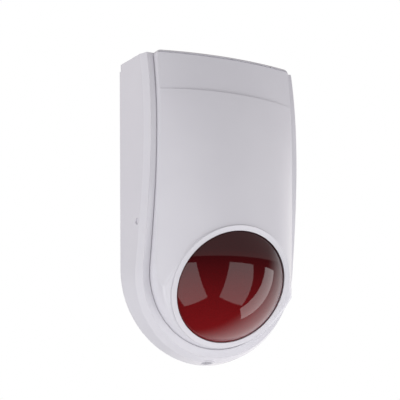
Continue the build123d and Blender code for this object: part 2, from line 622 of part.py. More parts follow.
with BuildPart() as back_plate:
    with BuildSketch(wall_plane(0)):
        add(shield(PLATE_HALF, PLATE_TOP))
    extrude(amount=PLATE)
    with BuildSketch(wall_plane(PLATE)):
        add(shield(RIM_HALF, PLATE_TOP - RIM_SETBACK))
        add(shield(RIM_HALF - RIM_WALL, PLATE_TOP - RIM_SETBACK - RIM_WALL), mode=Mode.SUBTRACT)
        with Locations((0, FOOT)):
            Rectangle(LOCK_NOTCH, 2 * LOCK_NOTCH_HIGH, mode=Mode.SUBTRACT)
        with Locations((0, PLATE_TOP)):
            Rectangle(2 * (EAR_OUTER_SPOT + HINGE_NOTCH_SIDE), 2 * HINGE_NOTCH_HIGH, mode=Mode.SUBTRACT)
    extrude(amount=RIM_HEIGHT)
    # bosses round the wall screws, standoffs for the board, cradle round the battery
    with BuildSketch(wall_plane(PLATE)):
        with Locations(*WALL_HOLES):
            Circle(WALL_BOSS_RADIUS)
    extrude(amount=WALL_BOSS_HEIGHT)
    with BuildSketch(wall_plane(PLATE)):
        with Locations(*BOARD_HOLES):
            Circle(STANDOFF_RADIUS)
            Circle(BOARD_SCREW, mode=Mode.SUBTRACT)
    extrude(amount=BOARD_LIFT - PLATE)
    with BuildSketch(wall_plane(PLATE)):
        with Locations((0, STRAP_Z)):
            Rectangle(BATTERY_X + 2 * (CRADLE_GAP + CRADLE_WALL), BATTERY_Z + 2 * (CRADLE_GAP + CRADLE_WALL))
            Rectangle(BATTERY_X + 2 * CRADLE_GAP, BATTERY_Z + 2 * CRADLE_GAP, mode=Mode.SUBTRACT)
            Rectangle(2 * BATTERY_X, STRAP_WIDTH + 2 * CRADLE_WALL, mode=Mode.SUBTRACT)
            Rectangle(CRADLE_BREAK, 2 * BATTERY_Z, mode=Mode.SUBTRACT)
    extrude(amount=CRADLE_HEIGHT)
    with BuildSketch(wall_plane(PLATE)):
        with Locations((0, STRAP_Z)):
            with GridLocations(BATTERY_PAD_PITCH, 0, 2, 1):
                Rectangle(BATTERY_PAD, BATTERY_Z - 2 * BATTERY_PAD)
    extrude(amount=BATTERY_LIFT - PLATE)
    with BuildSketch(wall_plane(PLATE)):
        with Locations((-STRAP_SPOT, STRAP_Z), (STRAP_SPOT, STRAP_Z)):
            Circle(POST_RADIUS)
            Circle(SELF_TAPPER, mode=Mode.SUBTRACT)
    extrude(amount=STRAP_POST)
    # holes for wall screws and cable
    with BuildSketch(wall_plane(0)):
        with Locations(*WALL_HOLES):
            Circle(WALL_SCREW_HOLE)
        with Locations((CABLE_X, CABLE_Z)):
            Circle(CABLE_HOLE)
    extrude(amount=2 * (PLATE + WALL_BOSS_HEIGHT), mode=Mode.SUBTRACT)
    with BuildSketch(wall_plane(PLATE)):
        with Locations((-SADDLE_SCREW, SADDLE_Z), (SADDLE_SCREW, SADDLE_Z)):
            Circle(SELF_TAPPER)
    extrude(amount=-SADDLE_PILOT_DEEP, mode=Mode.SUBTRACT)
    # hinge ears, standing clear of the strip of cover that swings behind them
    for side in (-1, 1):
        for spot in (EAR_SPOT, EAR_OUTER_SPOT):
            with BuildSketch(Plane.YZ.offset(side * spot)):
                with Locations((-HINGE_DEPTH, HINGE_Z)):
                    Circle(EAR_RADIUS)
                with Locations((-HINGE_DEPTH, HINGE_Z - EAR_FOOT / 2)):
                    Rectangle(2 * EAR_RADIUS, EAR_FOOT)
                with Locations((-(PLATE - 1 + HINGE_DEPTH) / 2, HINGE_Z - EAR_FOOT + EAR_RADIUS)):
                    Rectangle(HINGE_DEPTH - PLATE + 2, 2 * EAR_RADIUS)
                with Locations((-HINGE_DEPTH, HINGE_Z)):
                    Circle(HINGE_PIN, mode=Mode.SUBTRACT)
            extrude(amount=EAR_WIDTH / 2, both=True)
    # lock tab with a slot open to the front
    with BuildSketch(Plane.XY.offset(TAB_FOOT)):
        with Locations((0, -(PLATE - 1 + LOCK_DEPTH + LOCK_BOSS) / 2)):
            Rectangle(TAB_WIDTH, LOCK_DEPTH + LOCK_BOSS - PLATE + 1)
        with Locations((0, -LOCK_DEPTH)):
            Circle(LOCK_SHANK + TAB_SLOT_PLAY, mode=Mode.SUBTRACT)
        with Locations((0, -LOCK_DEPTH - LOCK_BOSS)):
            Rectangle(2 * (LOCK_SHANK + TAB_SLOT_PLAY), 2 * LOCK_BOSS, mode=Mode.SUBTRACT)
    extrude(amount=TAB_THICK)
    # feet for the strobe legs and post for the tamper switch
    with BuildSketch(wall_plane(PLATE)):
        with Locations(*[(side * (LEG_SPOT + 7), PLATFORM_CENTRE.Z) for side in (-1, 1)]):
            Circle(POST_RADIUS)
            Circle(SELF_TAPPER, mode=Mode.SUBTRACT)
    extrude(amount=LEG_POST)
    with BuildSketch(wall_plane(PLATE)):
        with Locations((TAMPER_X, TAMPER_Z)):
            Rectangle(14, 10)
    extrude(amount=TAMPER_SEAT - PLATE)
finish(back_plate, "back_plate")

with BuildPart() as cable_grommet:
    with BuildSketch(wall_plane(0)):
        with Locations((CABLE_X, CABLE_Z)):
            Circle(CABLE_HOLE)
            Circle(CABLE_HOLE - GROMMET_WALL, mode=Mode.SUBTRACT)
    extrude(amount=PLATE)
    with BuildSketch(wall_plane(PLATE)):
        with Locations((CABLE_X, CABLE_Z)):
            Circle(CABLE_HOLE + GROMMET_LIP)
            Circle(CABLE_HOLE - GROMMET_WALL, mode=Mode.SUBTRACT)
    extrude(amount=GROMMET_LIP)
finish(cable_grommet, "cable_grommet")

for name, side in (("hinge_pin_left", -1), ("hinge_pin_right", 1)):
    with BuildPart() as hinge_pin:
        with BuildSketch(Plane.YZ.offset(side * HINGE_X)):
            with Locations((-HINGE_DEPTH, HINGE_Z)):
                Circle(HINGE_PIN)
        extrude(amount=KNUCKLE_WIDTH / 2 + KNUCKLE_GAP + EAR_WIDTH, both=True)
    finish(hinge_pin, name)

# ---- lock screw --------------------------------------------------------------------
with BuildPart() as lock_washer:
    with BuildSketch(Plane.XY.offset(LOCK_ROOF - LOCK_WASHER_THICK)):
        with Locations((0, -LOCK_DEPTH)):
            Circle(LOCK_WASHER)
            Circle(LOCK_SHANK + LOCK_FIT, mode=Mode.SUBTRACT)
    extrude(amount=LOCK_WASHER_THICK)
finish(lock_washer, "lock_washer")

UNDER_HEAD = Plane(origin=(0, -LOCK_DEPTH, LOCK_ROOF - LOCK_WASHER_THICK), x_dir=(1, 0, 0), z_dir=(0, 0, -1))
make_screw("lock_screw", UNDER_HEAD, LOCK_SHANK, LOCK_REACH, LOCK_HEAD, LOCK_HEAD_THICK)

# ---- horn and driver ---------------------------------------------------------------
with BuildPart() as horn_flare:
    with BuildSketch(Plane.XY.offset(HORN_TOP)):
        with Locations((0, -HORN_DEPTH)):
            RectangleRounded(HORN_MOUTH_X, HORN_MOUTH_Y, HORN_CORNER)
    with BuildSketch(Plane.XY.offset(HORN_FOOT)):
        with Locations((0, -HORN_DEPTH)):
            RectangleRounded(2 * HORN_THROAT, 2 * HORN_THROAT, HORN_CORNER)
    loft()
    with BuildSketch(Plane.XY.offset(HORN_TOP)):
        with Locations((0, -HORN_DEPTH)):
            RectangleRounded(HORN_MOUTH_X - 2 * HORN_WALL, HORN_MOUTH_Y - 2 * HORN_WALL,
                             HORN_CORNER - HORN_WALL)
    with BuildSketch(Plane.XY.offset(HORN_FOOT)):
        with Locations((0, -HORN_DEPTH)):
            RectangleRounded(2 * (HORN_THROAT - HORN_WALL), 2 * (HORN_THROAT - HORN_WALL),
                             HORN_CORNER - HORN_WALL)
    loft(mode=Mode.SUBTRACT)
    with BuildSketch(Plane.XY.offset(HORN_FOOT)):
        with Locations((0, -HORN_DEPTH)):
            Circle(DRIVER_RADIUS)
            Circle(HORN_THROAT - HORN_WALL - HORN_WALL / 2, mode=Mode.SUBTRACT)
    extrude(amount=HORN_FLANGE)
finish(horn_flare, "horn_flare")

CAN_TOP = HORN_FOOT
MAGNET_TOP = CAN_TOP - DRIVER_CUP
with BuildPart() as driver_cup:
    with BuildSketch(Plane.XY.offset(CAN_TOP)):
        with Locations((0, -HORN_DEPTH)):
            Circle(DRIVER_RADIUS)
    extrude(amount=-DRIVER_CUP)
    with BuildSketch(Plane.XY.offset(CAN_TOP)):
        with Locations((0, -HORN_DEPTH)):
            Circle(DRIVER_RADIUS - CUP_WALL)
    extrude(amount=-(DRIVER_CUP - CUP_FLOOR), mode=Mode.SUBTRACT)
    with BuildSketch(Plane.XY.offset(CAN_TOP - CUP_FLOOR)):
        with Locations((CUP_TAG_X, -CUP_TAG_DEPTH)):
            Rectangle(CUP_TAG[0], CUP_TAG[1])
    extrude(amount=-CUP_TAG[2])
finish(driver_cup, "driver_cup")

with BuildPart() as driver_diaphragm:
    with BuildSketch(Plane.XY.offset(CAN_TOP - DIAPHRAGM_DROP)):
        with Locations((0, -HORN_DEPTH)):
            Circle(DRIVER_RADIUS - CUP_WALL - CUP_PLAY)
    extrude(amount=-DIAPHRAGM_THICK)
    with BuildSketch(Plane.XY.offset(CAN_TOP - DIAPHRAGM_DROP)):
        with Locations((0, -HORN_DEPTH)):
            Circle(DIAPHRAGM_DOME)
    extrude(amount=2 * DIAPHRAGM_THICK, taper=DOME_TAPER)
finish(driver_diaphragm, "driver_diaphragm")

with BuildPart() as driver_magnet:
    with BuildSketch(Plane.XY.offset(MAGNET_TOP)):
        with Locations((0, -HORN_DEPTH)):
            Circle(MAGNET_RADIUS)
    extrude(amount=-MAGNET_THICK)
    chamfer(driver_magnet.edges().filter_by(GeomType.CIRCLE), length=MAGNET_EDGE)
finish(driver_magnet, "driver_magnet")

with BuildPart() as driver_yoke:
    with BuildSketch(Plane.XY.offset(MAGNET_TOP - MAGNET_THICK)):
        with Locations((0, -HORN_DEPTH)):
            Circle(YOKE_RADIUS)
    extrude(amount=-YOKE_THICK)
    fillet(driver_yoke.edges().filter_by(GeomType.CIRCLE).sort_by(Axis.Z)[:1], radius=YOKE_EDGE)
finish(driver_yoke, "driver_yoke")

# saddle that holds the driver off the wall plate
with BuildPart() as horn_saddle:
    with BuildSketch(Plane.XY.offset(SADDLE_Z)):
        with Locations((0, -(PLATE + HORN_DEPTH) / 2)):
            Rectangle(2 * (DRIVER_RADIUS + SADDLE_SIDE), HORN_DEPTH - PLATE)
        with Locations((0, -HORN_DEPTH)):
            Circle(DRIVER_RADIUS + CUP_PLAY, mode=Mode.SUBTRACT)
    extrude(amount=SADDLE_HALF, both=True)
    with BuildSketch(wall_plane(PLATE)):
        with Locations((-SADDLE_SCREW, SADDLE_Z), (SADDLE_SCREW, SADDLE_Z)):
            Rectangle(SADDLE_FOOT[0], SADDLE_FOOT[1])
        with Locations((-SADDLE_SCREW, SADDLE_Z), (SADDLE_SCREW, SADDLE_Z)):
            Circle(SELF_TAPPER + SCREW_PLAY, mode=Mode.SUBTRACT)
    extrude(amount=SADDLE_FOOT[2])
finish(horn_saddle, "horn_saddle")
for name, side in (("saddle_screw_left", -1), ("saddle_screw_right", 1)):
    spot = Plane(origin=(side * SADDLE_SCREW, -PLATE - SADDLE_FOOT[2], SADDLE_Z), x_dir=(1, 0, 0),
                 z_dir=(0, -1, 0))
    make_screw(name, spot, SELF_TAPPER, SADDLE_SCREW_LENGTH, TAPPER_HEAD, TAPPER_HEAD_THICK)

# ---- battery ---------------------------------------------------------------------
BATTERY_FRONT = BATTERY_LIFT + BATTERY_Y
STRAP_FOOT_Y = -PLATE - STRAP_POST - STRAP_THICK / 2
STRAP_FRONT_Y = -BATTERY_FRONT - STRAP_THICK / 2
with BuildPart() as battery:
    with BuildSketch(wall_plane(BATTERY_LIFT)):
        with Locations((0, STRAP_Z)):
            RectangleRounded(BATTERY_X, BATTERY_Z, BATTERY_CORNER)
    extrude(amount=BATTERY_Y)
    fillet(battery.faces().sort_by(Axis.Y)[0].edges(), radius=BATTERY_EDGE)
finish(battery, "battery")

for name, side in (("battery_tab_positive", -1), ("battery_tab_negative", 1)):
    with BuildPart() as battery_tab:
        with BuildSketch(Plane.XY.offset(STRAP_Z + BATTERY_Z / 2)):
            with Locations((side * BATTERY_TAB_X, -BATTERY_LIFT - BATTERY_TAB_DEPTH)):
                Rectangle(BATTERY_TAB[0], BATTERY_TAB[1])
        extrude(amount=BATTERY_TAB[2])
    finish(battery_tab, name)

with BuildPart() as battery_strap:
    with BuildSketch(Plane.XY.offset(STRAP_Z)):
        with BuildLine():
            Polyline((-STRAP_SPOT - STRAP_REACH, STRAP_FOOT_Y), (-STRAP_HALF, STRAP_FOOT_Y),
                     (-STRAP_HALF, STRAP_FRONT_Y),
                     (STRAP_HALF, STRAP_FRONT_Y), (STRAP_HALF, STRAP_FOOT_Y), (STRAP_SPOT + STRAP_REACH,
                             STRAP_FOOT_Y))
            offset(amount=STRAP_THICK / 2, kind=Kind.INTERSECTION)
        make_face()
    extrude(amount=STRAP_WIDTH / 2, both=True)
    with BuildSketch(wall_plane(PLATE)):
        with Locations((-STRAP_SPOT, STRAP_Z), (STRAP_SPOT, STRAP_Z)):
            Circle(SELF_TAPPER + SCREW_PLAY)
    extrude(amount=2 * STRAP_POST, mode=Mode.SUBTRACT)
finish(battery_strap, "battery_strap")
for name, side in (("strap_screw_left", -1), ("strap_screw_right", 1)):
    spot = Plane(origin=(side * STRAP_SPOT, STRAP_FOOT_Y - STRAP_THICK / 2, STRAP_Z), x_dir=(1, 0, 0),
                 z_dir=(0, -1, 0))
    make_screw(name, spot, SELF_TAPPER, TAPPER_LENGTH, TAPPER_HEAD, TAPPER_HEAD_THICK)

# ---- circuit board -----------------------------------------------------------------
BOARD_FRONT = BOARD_LIFT + BOARD_THICK
TERMINAL_SEAT = BOARD_FRONT + TERMINAL_HIGH - TERMINAL_WELL
with BuildPart() as main_board:
    with BuildSketch(wall_plane(BOARD_LIFT)):
        with Locations((0, BOARD_CENTRE_Z)):
            RectangleRounded(BOARD_X, BOARD_Z, BOARD_CORNER)
        with Locations(*BOARD_HOLES):
            Circle(SELF_TAPPER + SCREW_PLAY, mode=Mode.SUBTRACT)
    extrude(amount=BOARD_THICK)
finish(main_board, "main_board")
for index, (x, z) in enumerate(BOARD_HOLES, start=1):
    spot = Plane(origin=(x, -BOARD_FRONT, z), x_dir=(1, 0, 0), z_dir=(0, -1, 0))
    make_screw(f"board_screw_{index}", spot, BOARD_SCREW, BOARD_SCREW_LENGTH, BOARD_SCREW_HEAD,
               BOARD_SCREW_HEAD_THICK)


def on_board(name, x, z, width, height, thick, corner=0.4):
    """Block component lying on the board, placed from the board's centre."""
    with BuildPart() as block:
        with BuildSketch(wall_plane(BOARD_FRONT)):
            with Locations((x, BOARD_CENTRE_Z + z)):
                RectangleRounded(width, height, corner)
        extrude(amount=thick)
    finish(block, name)


TERMINALS = 8
TERMINAL_PITCH = 5.08
with BuildPart() as terminal_block:
    with BuildSketch(wall_plane(BOARD_FRONT)):
        with Locations((TERMINAL_X, BOARD_CENTRE_Z + TERMINAL_Z)):
            Rectangle(TERMINALS * TERMINAL_PITCH, TERMINAL_DEEP)
    extrude(amount=TERMINAL_HIGH)
    with BuildSketch(wall_plane(BOARD_FRONT + TERMINAL_HIGH)):
        with Locations((TERMINAL_X, BOARD_CENTRE_Z + TERMINAL_Z)):
            with GridLocations(TERMINAL_PITCH, 0, TERMINALS, 1):
                Circle(TERMINAL_SCREW + SCREW_PLAY)
    extrude(amount=-TERMINAL_WELL, mode=Mode.SUBTRACT)
    with BuildSketch(Plane.XY.offset(BOARD_CENTRE_Z + TERMINAL_Z - TERMINAL_DEEP / 2)):
        with Locations((TERMINAL_X, -BOARD_FRONT - WIRE_ENTRY_LIFT)):
            with GridLocations(TERMINAL_PITCH, 0, TERMINALS, 1):
                Rectangle(WIRE_ENTRY[0], WIRE_ENTRY[1])
    extrude(amount=WIRE_ENTRY_DEEP, mode=Mode.SUBTRACT)
finish(terminal_block, "terminal_block")

with BuildPart() as terminal_screws:
    with BuildSketch(wall_plane(TERMINAL_SEAT)):
        with Locations((TERMINAL_X, BOARD_CENTRE_Z + TERMINAL_Z)):
            with GridLocations(TERMINAL_PITCH, 0, TERMINALS, 1):
                Circle(TERMINAL_SCREW)
    extrude(amount=TERMINAL_SCREW_HIGH)
    with BuildSketch(wall_plane(TERMINAL_SEAT + TERMINAL_SCREW_HIGH)):
        with Locations((TERMINAL_X, BOARD_CENTRE_Z + TERMINAL_Z)):
            with GridLocations(TERMINAL_PITCH, 0, TERMINALS, 1):
                Rectangle(TERMINAL_SLOT, TERMINAL_DEEP / 2)
    extrude(amount=-TERMINAL_SLOT_DEEP, mode=Mode.SUBTRACT)
finish(terminal_screws, "terminal_screws")

for index, (x, z, radius) in enumerate(CAPACITORS, start=1):
    with BuildPart() as capacitor:
        with BuildSketch(wall_plane(BOARD_FRONT)):
            with Locations((x, BOARD_CENTRE_Z + z)):
                Circle(radius)
        extrude(amount=CAPACITOR_HEIGHT)
        fillet(capacitor.edges().filter_by(GeomType.CIRCLE), radius=CAPACITOR_EDGE)
    finish(capacitor, f"capacitor_{index}")

on_board("controller_chip", 4.0, -2.0, 9.0, 18.0, 3.2)
on_board("driver_chip", 26.0, 10.0, 10.0, 14.0, 4.0)
on_board("relay", 38.0, -14.0, 15.0, 19.0, 11.0, 1.0)
on_board("inductor", -14.0, -22.0, 12.0, 12.0, 6.0, 2.0)
on_board("horn_socket", -40.0, 30.0, 10.0, 6.0, 7.0)
on_board("strobe_socket", 18.0, 31.0, 10.0, 6.0, 7.0)

# ---- strobe -------------------------------------------------------------------------
PLATFORM_PLANE = LENS_PLANE.offset(-STROBE_BACK)
with BuildPart() as strobe_bracket:
    with BuildSketch(PLATFORM_PLANE):
        Rectangle(PLATFORM_X, PLATFORM_Y)
        with GridLocations(STROBE_SCREW_X, 0, 2, 1):
            Circle(SELF_TAPPER, mode=Mode.SUBTRACT)
    extrude(amount=-PLATFORM_THICK)
    for side in (-1, 1):
        with BuildSketch(Plane.YZ.offset(side * (LEG_SPOT - PLATFORM_THICK / 2))):
            with Locations(((PLATFORM_CENTRE.Y - PLATE) / 2, PLATFORM_CENTRE.Z)):
                Rectangle(-PLATFORM_CENTRE.Y - PLATE, LEG_Z)
        extrude(amount=PLATFORM_THICK / 2, both=True)
        with BuildSketch(wall_plane(PLATE + LEG_POST)):
            with Locations((side * (LEG_SPOT + LEG_FOOT_X), PLATFORM_CENTRE.Z)):
                Rectangle(LEG_FOOT, LEG_Z)
            with Locations((side * (LEG_SPOT + LEG_SCREW_X), PLATFORM_CENTRE.Z)):
                Circle(SELF_TAPPER + SCREW_PLAY, mode=Mode.SUBTRACT)
        extrude(amount=PLATFORM_THICK)
    with BuildSketch(PLATFORM_PLANE):
        Rectangle(2 * WIDTH, 2 * WIDTH)
    extrude(amount=WIDTH, mode=Mode.SUBTRACT)
finish(strobe_bracket, "strobe_bracket")
for name, side in (("bracket_screw_left", -1), ("bracket_screw_right", 1)):
    spot = Plane(origin=(side * (LEG_SPOT + LEG_SCREW_X), -PLATE - LEG_POST - PLATFORM_THICK,
                 PLATFORM_CENTRE.Z),
                 x_dir=(1, 0, 0), z_dir=(0, -1, 0))
    make_screw(name, spot, SELF_TAPPER, TAPPER_LENGTH, TAPPER_HEAD, TAPPER_HEAD_THICK)

with BuildPart() as strobe_board:
    with BuildSketch(PLATFORM_PLANE):
        Circle(STROBE_RADIUS)
        with GridLocations(STROBE_SCREW_X, 0, 2, 1):
            Circle(STROBE_HOLE)
        with GridLocations(STROBE_SCREW_X, 0, 2, 1):
            Circle(SELF_TAPPER + SCREW_PLAY, mode=Mode.SUBTRACT)
    extrude(amount=BOARD_THICK)
finish(strobe_board, "strobe_board")
for name, side in (("strobe_screw_left", -1), ("strobe_screw_right", 1)):
    board_face = PLATFORM_PLANE.offset(BOARD_THICK)
    spot = Plane(origin=board_face.from_local_coords((side * STROBE_SCREW_X / 2, 0, 0)),
                 x_dir=board_face.x_dir, z_dir=board_face.z_dir)
    make_screw(name, spot, SELF_TAPPER, STROBE_SCREW_LENGTH, TAPPER_HEAD, TAPPER_HEAD_THICK)

REFLECTOR_SECTION = Plane(origin=PLATFORM_PLANE.offset(BOARD_THICK).origin, x_dir=LENS_SECTION.x_dir,
                          z_dir=LENS_SECTION.z_dir)
with BuildPart() as reflector:
    with BuildSketch(REFLECTOR_SECTION):
        with BuildLine():
            RadiusArc((REFLECTOR_THROAT, 0), (REFLECTOR_RADIUS, REFLECTOR_HEIGHT), 3 * REFLECTOR_RADIUS)
            Line((REFLECTOR_RADIUS, REFLECTOR_HEIGHT), (REFLECTOR_RADIUS + REFLECTOR_WALL, REFLECTOR_HEIGHT))
            RadiusArc((REFLECTOR_RADIUS + REFLECTOR_WALL, REFLECTOR_HEIGHT), (REFLECTOR_THROAT + 2, 0),
                      -3 * REFLECTOR_RADIUS)
            Line((REFLECTOR_THROAT + 2, 0), (REFLECTOR_THROAT, 0))
        make_face()
    revolve(axis=LENS_TURN)
finish(reflector, "reflector")

LED_PLANE = PLATFORM_PLANE.offset(BOARD_THICK)
with BuildPart() as strobe_leds:
    with BuildSketch(LED_PLANE):
        with Locations(*LED_SPOTS):
            Circle(LED_RADIUS + LED_RIM)
    extrude(amount=LED_BASE)
    with BuildSketch(LED_PLANE.offset(LED_BASE)):
        with Locations(*LED_SPOTS):
            Circle(LED_RADIUS)
    extrude(amount=LED_HEIGHT)
    fillet(strobe_leds.edges().group_by(LENS_TURN)[-1], radius=LED_RADIUS * LED_ROUNDING)
finish(strobe_leds, "strobe_leds")

# ---- tamper switch ---------------------------------------------------------------------
COIL_RADIUS = TAMPER_STEM + 0.8
SPRING_POCKET = COIL_RADIUS + 0.6
SPRING_SINK = 3.2
with BuildPart() as tamper_switch:
    with BuildSketch(wall_plane(TAMPER_SEAT)):
        with Locations((TAMPER_X, TAMPER_Z)):
            RectangleRounded(TAMPER_CASE[0], TAMPER_CASE[1], TAMPER_CORNER)
    extrude(amount=TAMPER_BODY)
    with BuildSketch(wall_plane(TAMPER_SEAT + TAMPER_BODY)):
        with Locations((TAMPER_X, TAMPER_Z)):
            Circle(TAMPER_STEM + STEM_PLAY)
    extrude(amount=-(TAMPER_BODY - TAMPER_FLOOR), mode=Mode.SUBTRACT)
    with BuildSketch(wall_plane(TAMPER_SEAT + TAMPER_BODY)):
        with Locations((TAMPER_X, TAMPER_Z)):
            Circle(SPRING_POCKET)
    extrude(amount=-SPRING_SINK, mode=Mode.SUBTRACT)
finish(tamper_switch, "tamper_switch")

with BuildPart() as tamper_plunger:
    with BuildSketch(wall_plane(TAMPER_SEAT + TAMPER_BODY - TAMPER_STROKE_ROOM)):
        with Locations((TAMPER_X, TAMPER_Z)):
            Circle(TAMPER_STEM)
    extrude(amount=TAMPER_TIP - CONTACT_GAP - TAMPER_SEAT - TAMPER_BODY + TAMPER_STROKE_ROOM)
    with BuildSketch(wall_plane(TAMPER_TIP - CONTACT_GAP)):
        with Locations((TAMPER_X, TAMPER_Z)):
            Circle(TAMPER_CAP)
    extrude(amount=-TAMPER_CAP_THICK)
    fillet(tamper_plunger.faces().sort_by(Axis.Y)[0].edges(), radius=TAMPER_CAP_EDGE)
finish(tamper_plunger, "tamper_plunger")

SPRING_FOOT = TAMPER_SEAT + TAMPER_BODY - SPRING_SINK
SPRING_LENGTH = TAMPER_TIP - CONTACT_GAP - 2.0 - SPRING_FOOT
with BuildPart() as tamper_spring:
    with BuildSketch(wall_plane(SPRING_FOOT)):
        with Locations((TAMPER_X, TAMPER_Z)):
            Circle(COIL_RADIUS + COIL_WIRE)
            Circle(COIL_RADIUS - COIL_WIRE, mode=Mode.SUBTRACT)
    extrude(amount=SPRING_LENGTH)
finish(tamper_spring, "tamper_spring")

# ---- leads, clipped inside the wall unit ---------------------------------------------------
def lead(name, points):
    """Insulated lead along a route of straight runs joined by the widest arcs that fit."""
    corners = [Vector(*point) for point in points]
    runs = [after - before for before, after in zip(corners, corners[1:])]
    radii = []
    for first, second in zip(runs, runs[1:]):
        half_turn = radians(first.get_angle(second)) / 2
        radii.append(BEND_SHARE * min(first.length, second.length) / tan(half_turn))
    print(name, "radii", [round(radius, 1) for radius in radii])
    with BuildPart() as tube:
        with BuildLine() as route:
            FilletPolyline(*corners, radius=radii)
        with BuildSketch(Plane(origin=corners[0], z_dir=runs[0])):
            Circle(LEAD_RADIUS)
        sweep(path=route.wires()[0])
    length = sum(edge.length for edge in route.edges())
    print(name, "volume over section times length",
          round(tube.part.volume / (pi * LEAD_RADIUS ** 2 * length), 4))
    finish(tube, name)


lead("horn_lead", HORN_LEAD)
lead("strobe_lead", STROBE_LEAD)
lead("battery_lead_red", RED_LEAD)
lead("battery_lead_black", BLACK_LEAD)
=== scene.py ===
import json
from math import cos, pi, radians, sin, tau

import bpy
from mathutils import Matrix, Vector


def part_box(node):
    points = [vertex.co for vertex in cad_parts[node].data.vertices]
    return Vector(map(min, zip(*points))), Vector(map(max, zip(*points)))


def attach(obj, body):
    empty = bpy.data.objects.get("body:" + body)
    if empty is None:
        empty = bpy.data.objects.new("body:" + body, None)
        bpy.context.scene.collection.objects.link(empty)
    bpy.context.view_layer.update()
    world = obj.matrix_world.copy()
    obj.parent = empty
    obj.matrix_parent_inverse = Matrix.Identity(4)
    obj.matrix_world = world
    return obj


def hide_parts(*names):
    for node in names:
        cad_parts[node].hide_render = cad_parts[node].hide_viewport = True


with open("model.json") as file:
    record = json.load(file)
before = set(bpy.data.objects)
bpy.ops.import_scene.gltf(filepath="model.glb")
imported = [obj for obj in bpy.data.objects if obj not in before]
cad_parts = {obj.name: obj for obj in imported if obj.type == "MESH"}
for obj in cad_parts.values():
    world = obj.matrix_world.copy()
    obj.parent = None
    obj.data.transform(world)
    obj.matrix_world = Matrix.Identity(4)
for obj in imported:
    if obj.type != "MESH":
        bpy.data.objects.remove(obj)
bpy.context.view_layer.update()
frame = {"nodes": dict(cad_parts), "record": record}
nodes = frame["nodes"]
MM = 0.001


# ---- small helpers for materials -------------------------------------------------------
class Finish:
    """A surface finish: one principled shader and the texture nodes that feed it."""

    def __init__(self, name, roughness=0.4, metallic=0.0):
        self.material = bpy.data.materials.new(name)
        self.material.use_nodes = True
        self.tree = self.material.node_tree
        self.shader = self.tree.nodes["Principled BSDF"]
        self.shader.inputs["Roughness"].default_value = roughness
        self.shader.inputs["Metallic"].default_value = metallic
        self.place = self.add("ShaderNodeTexCoord").outputs["Object"]

    def add(self, kind, **settings):
        node = self.tree.nodes.new(kind)
        for key, value in settings.items():
            setattr(node, key, value)
        return node

    def link(self, source, target):
        self.tree.links.new(source, target)

    def set(self, name, value):
        self.shader.inputs[name].default_value = value

    def stretched(self, scale, turn=(0, 0, 0)):
        """Object coordinates, scaled differently along each axis."""
        mapping = self.add("ShaderNodeMapping")
        mapping.inputs["Scale"].default_value = scale
        mapping.inputs["Rotation"].default_value = turn
        self.link(self.place, mapping.inputs["Vector"])
        return mapping.outputs["Vector"]

    def noise(self, scale, detail=4.0, rough=0.5, at=None):
        texture = self.add("ShaderNodeTexNoise")
        texture.inputs["Scale"].default_value = scale
        texture.inputs["Detail"].default_value = detail
        texture.inputs["Roughness"].default_value = rough
        self.link(at or self.place, texture.inputs["Vector"])
        return texture.outputs["Fac"]

    def span(self, value, low, high, to_low=0.0, to_high=1.0):
        node = self.add("ShaderNodeMapRange", clamp=True)
        for key, number in (("From Min", low), ("From Max", high), ("To Min", to_low), ("To Max", to_high)):
            node.inputs[key].default_value = number
        self.link(value, node.inputs["Value"])
        return node.outputs["Result"]

    def math(self, operation, first, second):
        node = self.add("ShaderNodeMath", operation=operation)
        for slot, value in zip(node.inputs, (first, second)):
            if isinstance(value, (int, float)):
                slot.default_value = value
            else:
                self.link(value, slot)
        return node.outputs["Value"]

    def mix(self, factor, first, second):
        node = self.add("ShaderNodeMix", data_type="RGBA")
        self.link(factor, node.inputs["Factor"])
        for slot, value in ((node.inputs[6], first), (node.inputs[7], second)):
            if isinstance(value, tuple):
                slot.default_value = (*value, 1)
            else:
                self.link(value, slot)
        return node.outputs[2]

    def colour(self, value):
        self.link(value, self.shader.inputs["Base Color"])

    def rough(self, value):
        self.link(value, self.shader.inputs["Roughness"])

    def worn_edges(self, radius=0.6 * MM):
        """1 on outer edges, 0 on flat faces."""
        bevel = self.add("ShaderNodeBevel", samples=4)
        bevel.inputs["Radius"].default_value = radius
        flat = self.add("ShaderNodeNewGeometry")
        dot = self.add("ShaderNodeVectorMath", operation="DOT_PRODUCT")
        self.link(bevel.outputs["Normal"], dot.inputs[0])
        self.link(flat.outputs["Normal"], dot.inputs[1])
        return self.span(dot.outputs["Value"], 0.70, 0.985, 1.0, 0.0)

    def bump(self, height, strength, distance, softened=0.0):
        node = self.add("ShaderNodeBump")
        node.inputs["Strength"].default_value = strength
        node.inputs["Distance"].default_value = distance
        self.link(height, node.inputs["Height"])
        if softened:
            bevel = self.add("ShaderNodeBevel", samples=4)
            bevel.inputs["Radius"].default_value = softened
            self.link(bevel.outputs["Normal"], node.inputs["Normal"])
        self.link(node.outputs["Normal"], self.shader.inputs["Normal"])


def moulded(name, dark, light, roughness, grain=900, grain_depth=0.02, softened=0.4 * MM, wear=0.15):
    """Moulded plastic: cloudy colour, fine skin grain, a few dull patches and paler rubbed edges."""
    finish = Finish(name, roughness)
    clouds = finish.noise(14, 3)
    edges = finish.worn_edges()
    base = finish.mix(finish.span(clouds, 0.3, 0.7), dark, light)
    pale = tuple(min(1.0, channel * 1.25 + 0.03) for channel in light)
    rubbed = finish.math("MULTIPLY", edges, finish.span(finish.noise(160, 2), 0.4, 0.62, 0.0, wear))
    finish.colour(finish.mix(rubbed, base, pale))
    patches = finish.noise(38, 4)
    finish.rough(finish.span(patches, 0.3, 0.7, roughness * 0.88, roughness * 1.15))
    finish.bump(finish.noise(grain, 2, 0.6), grain_depth, 0.4 * MM, softened)
    return finish.material


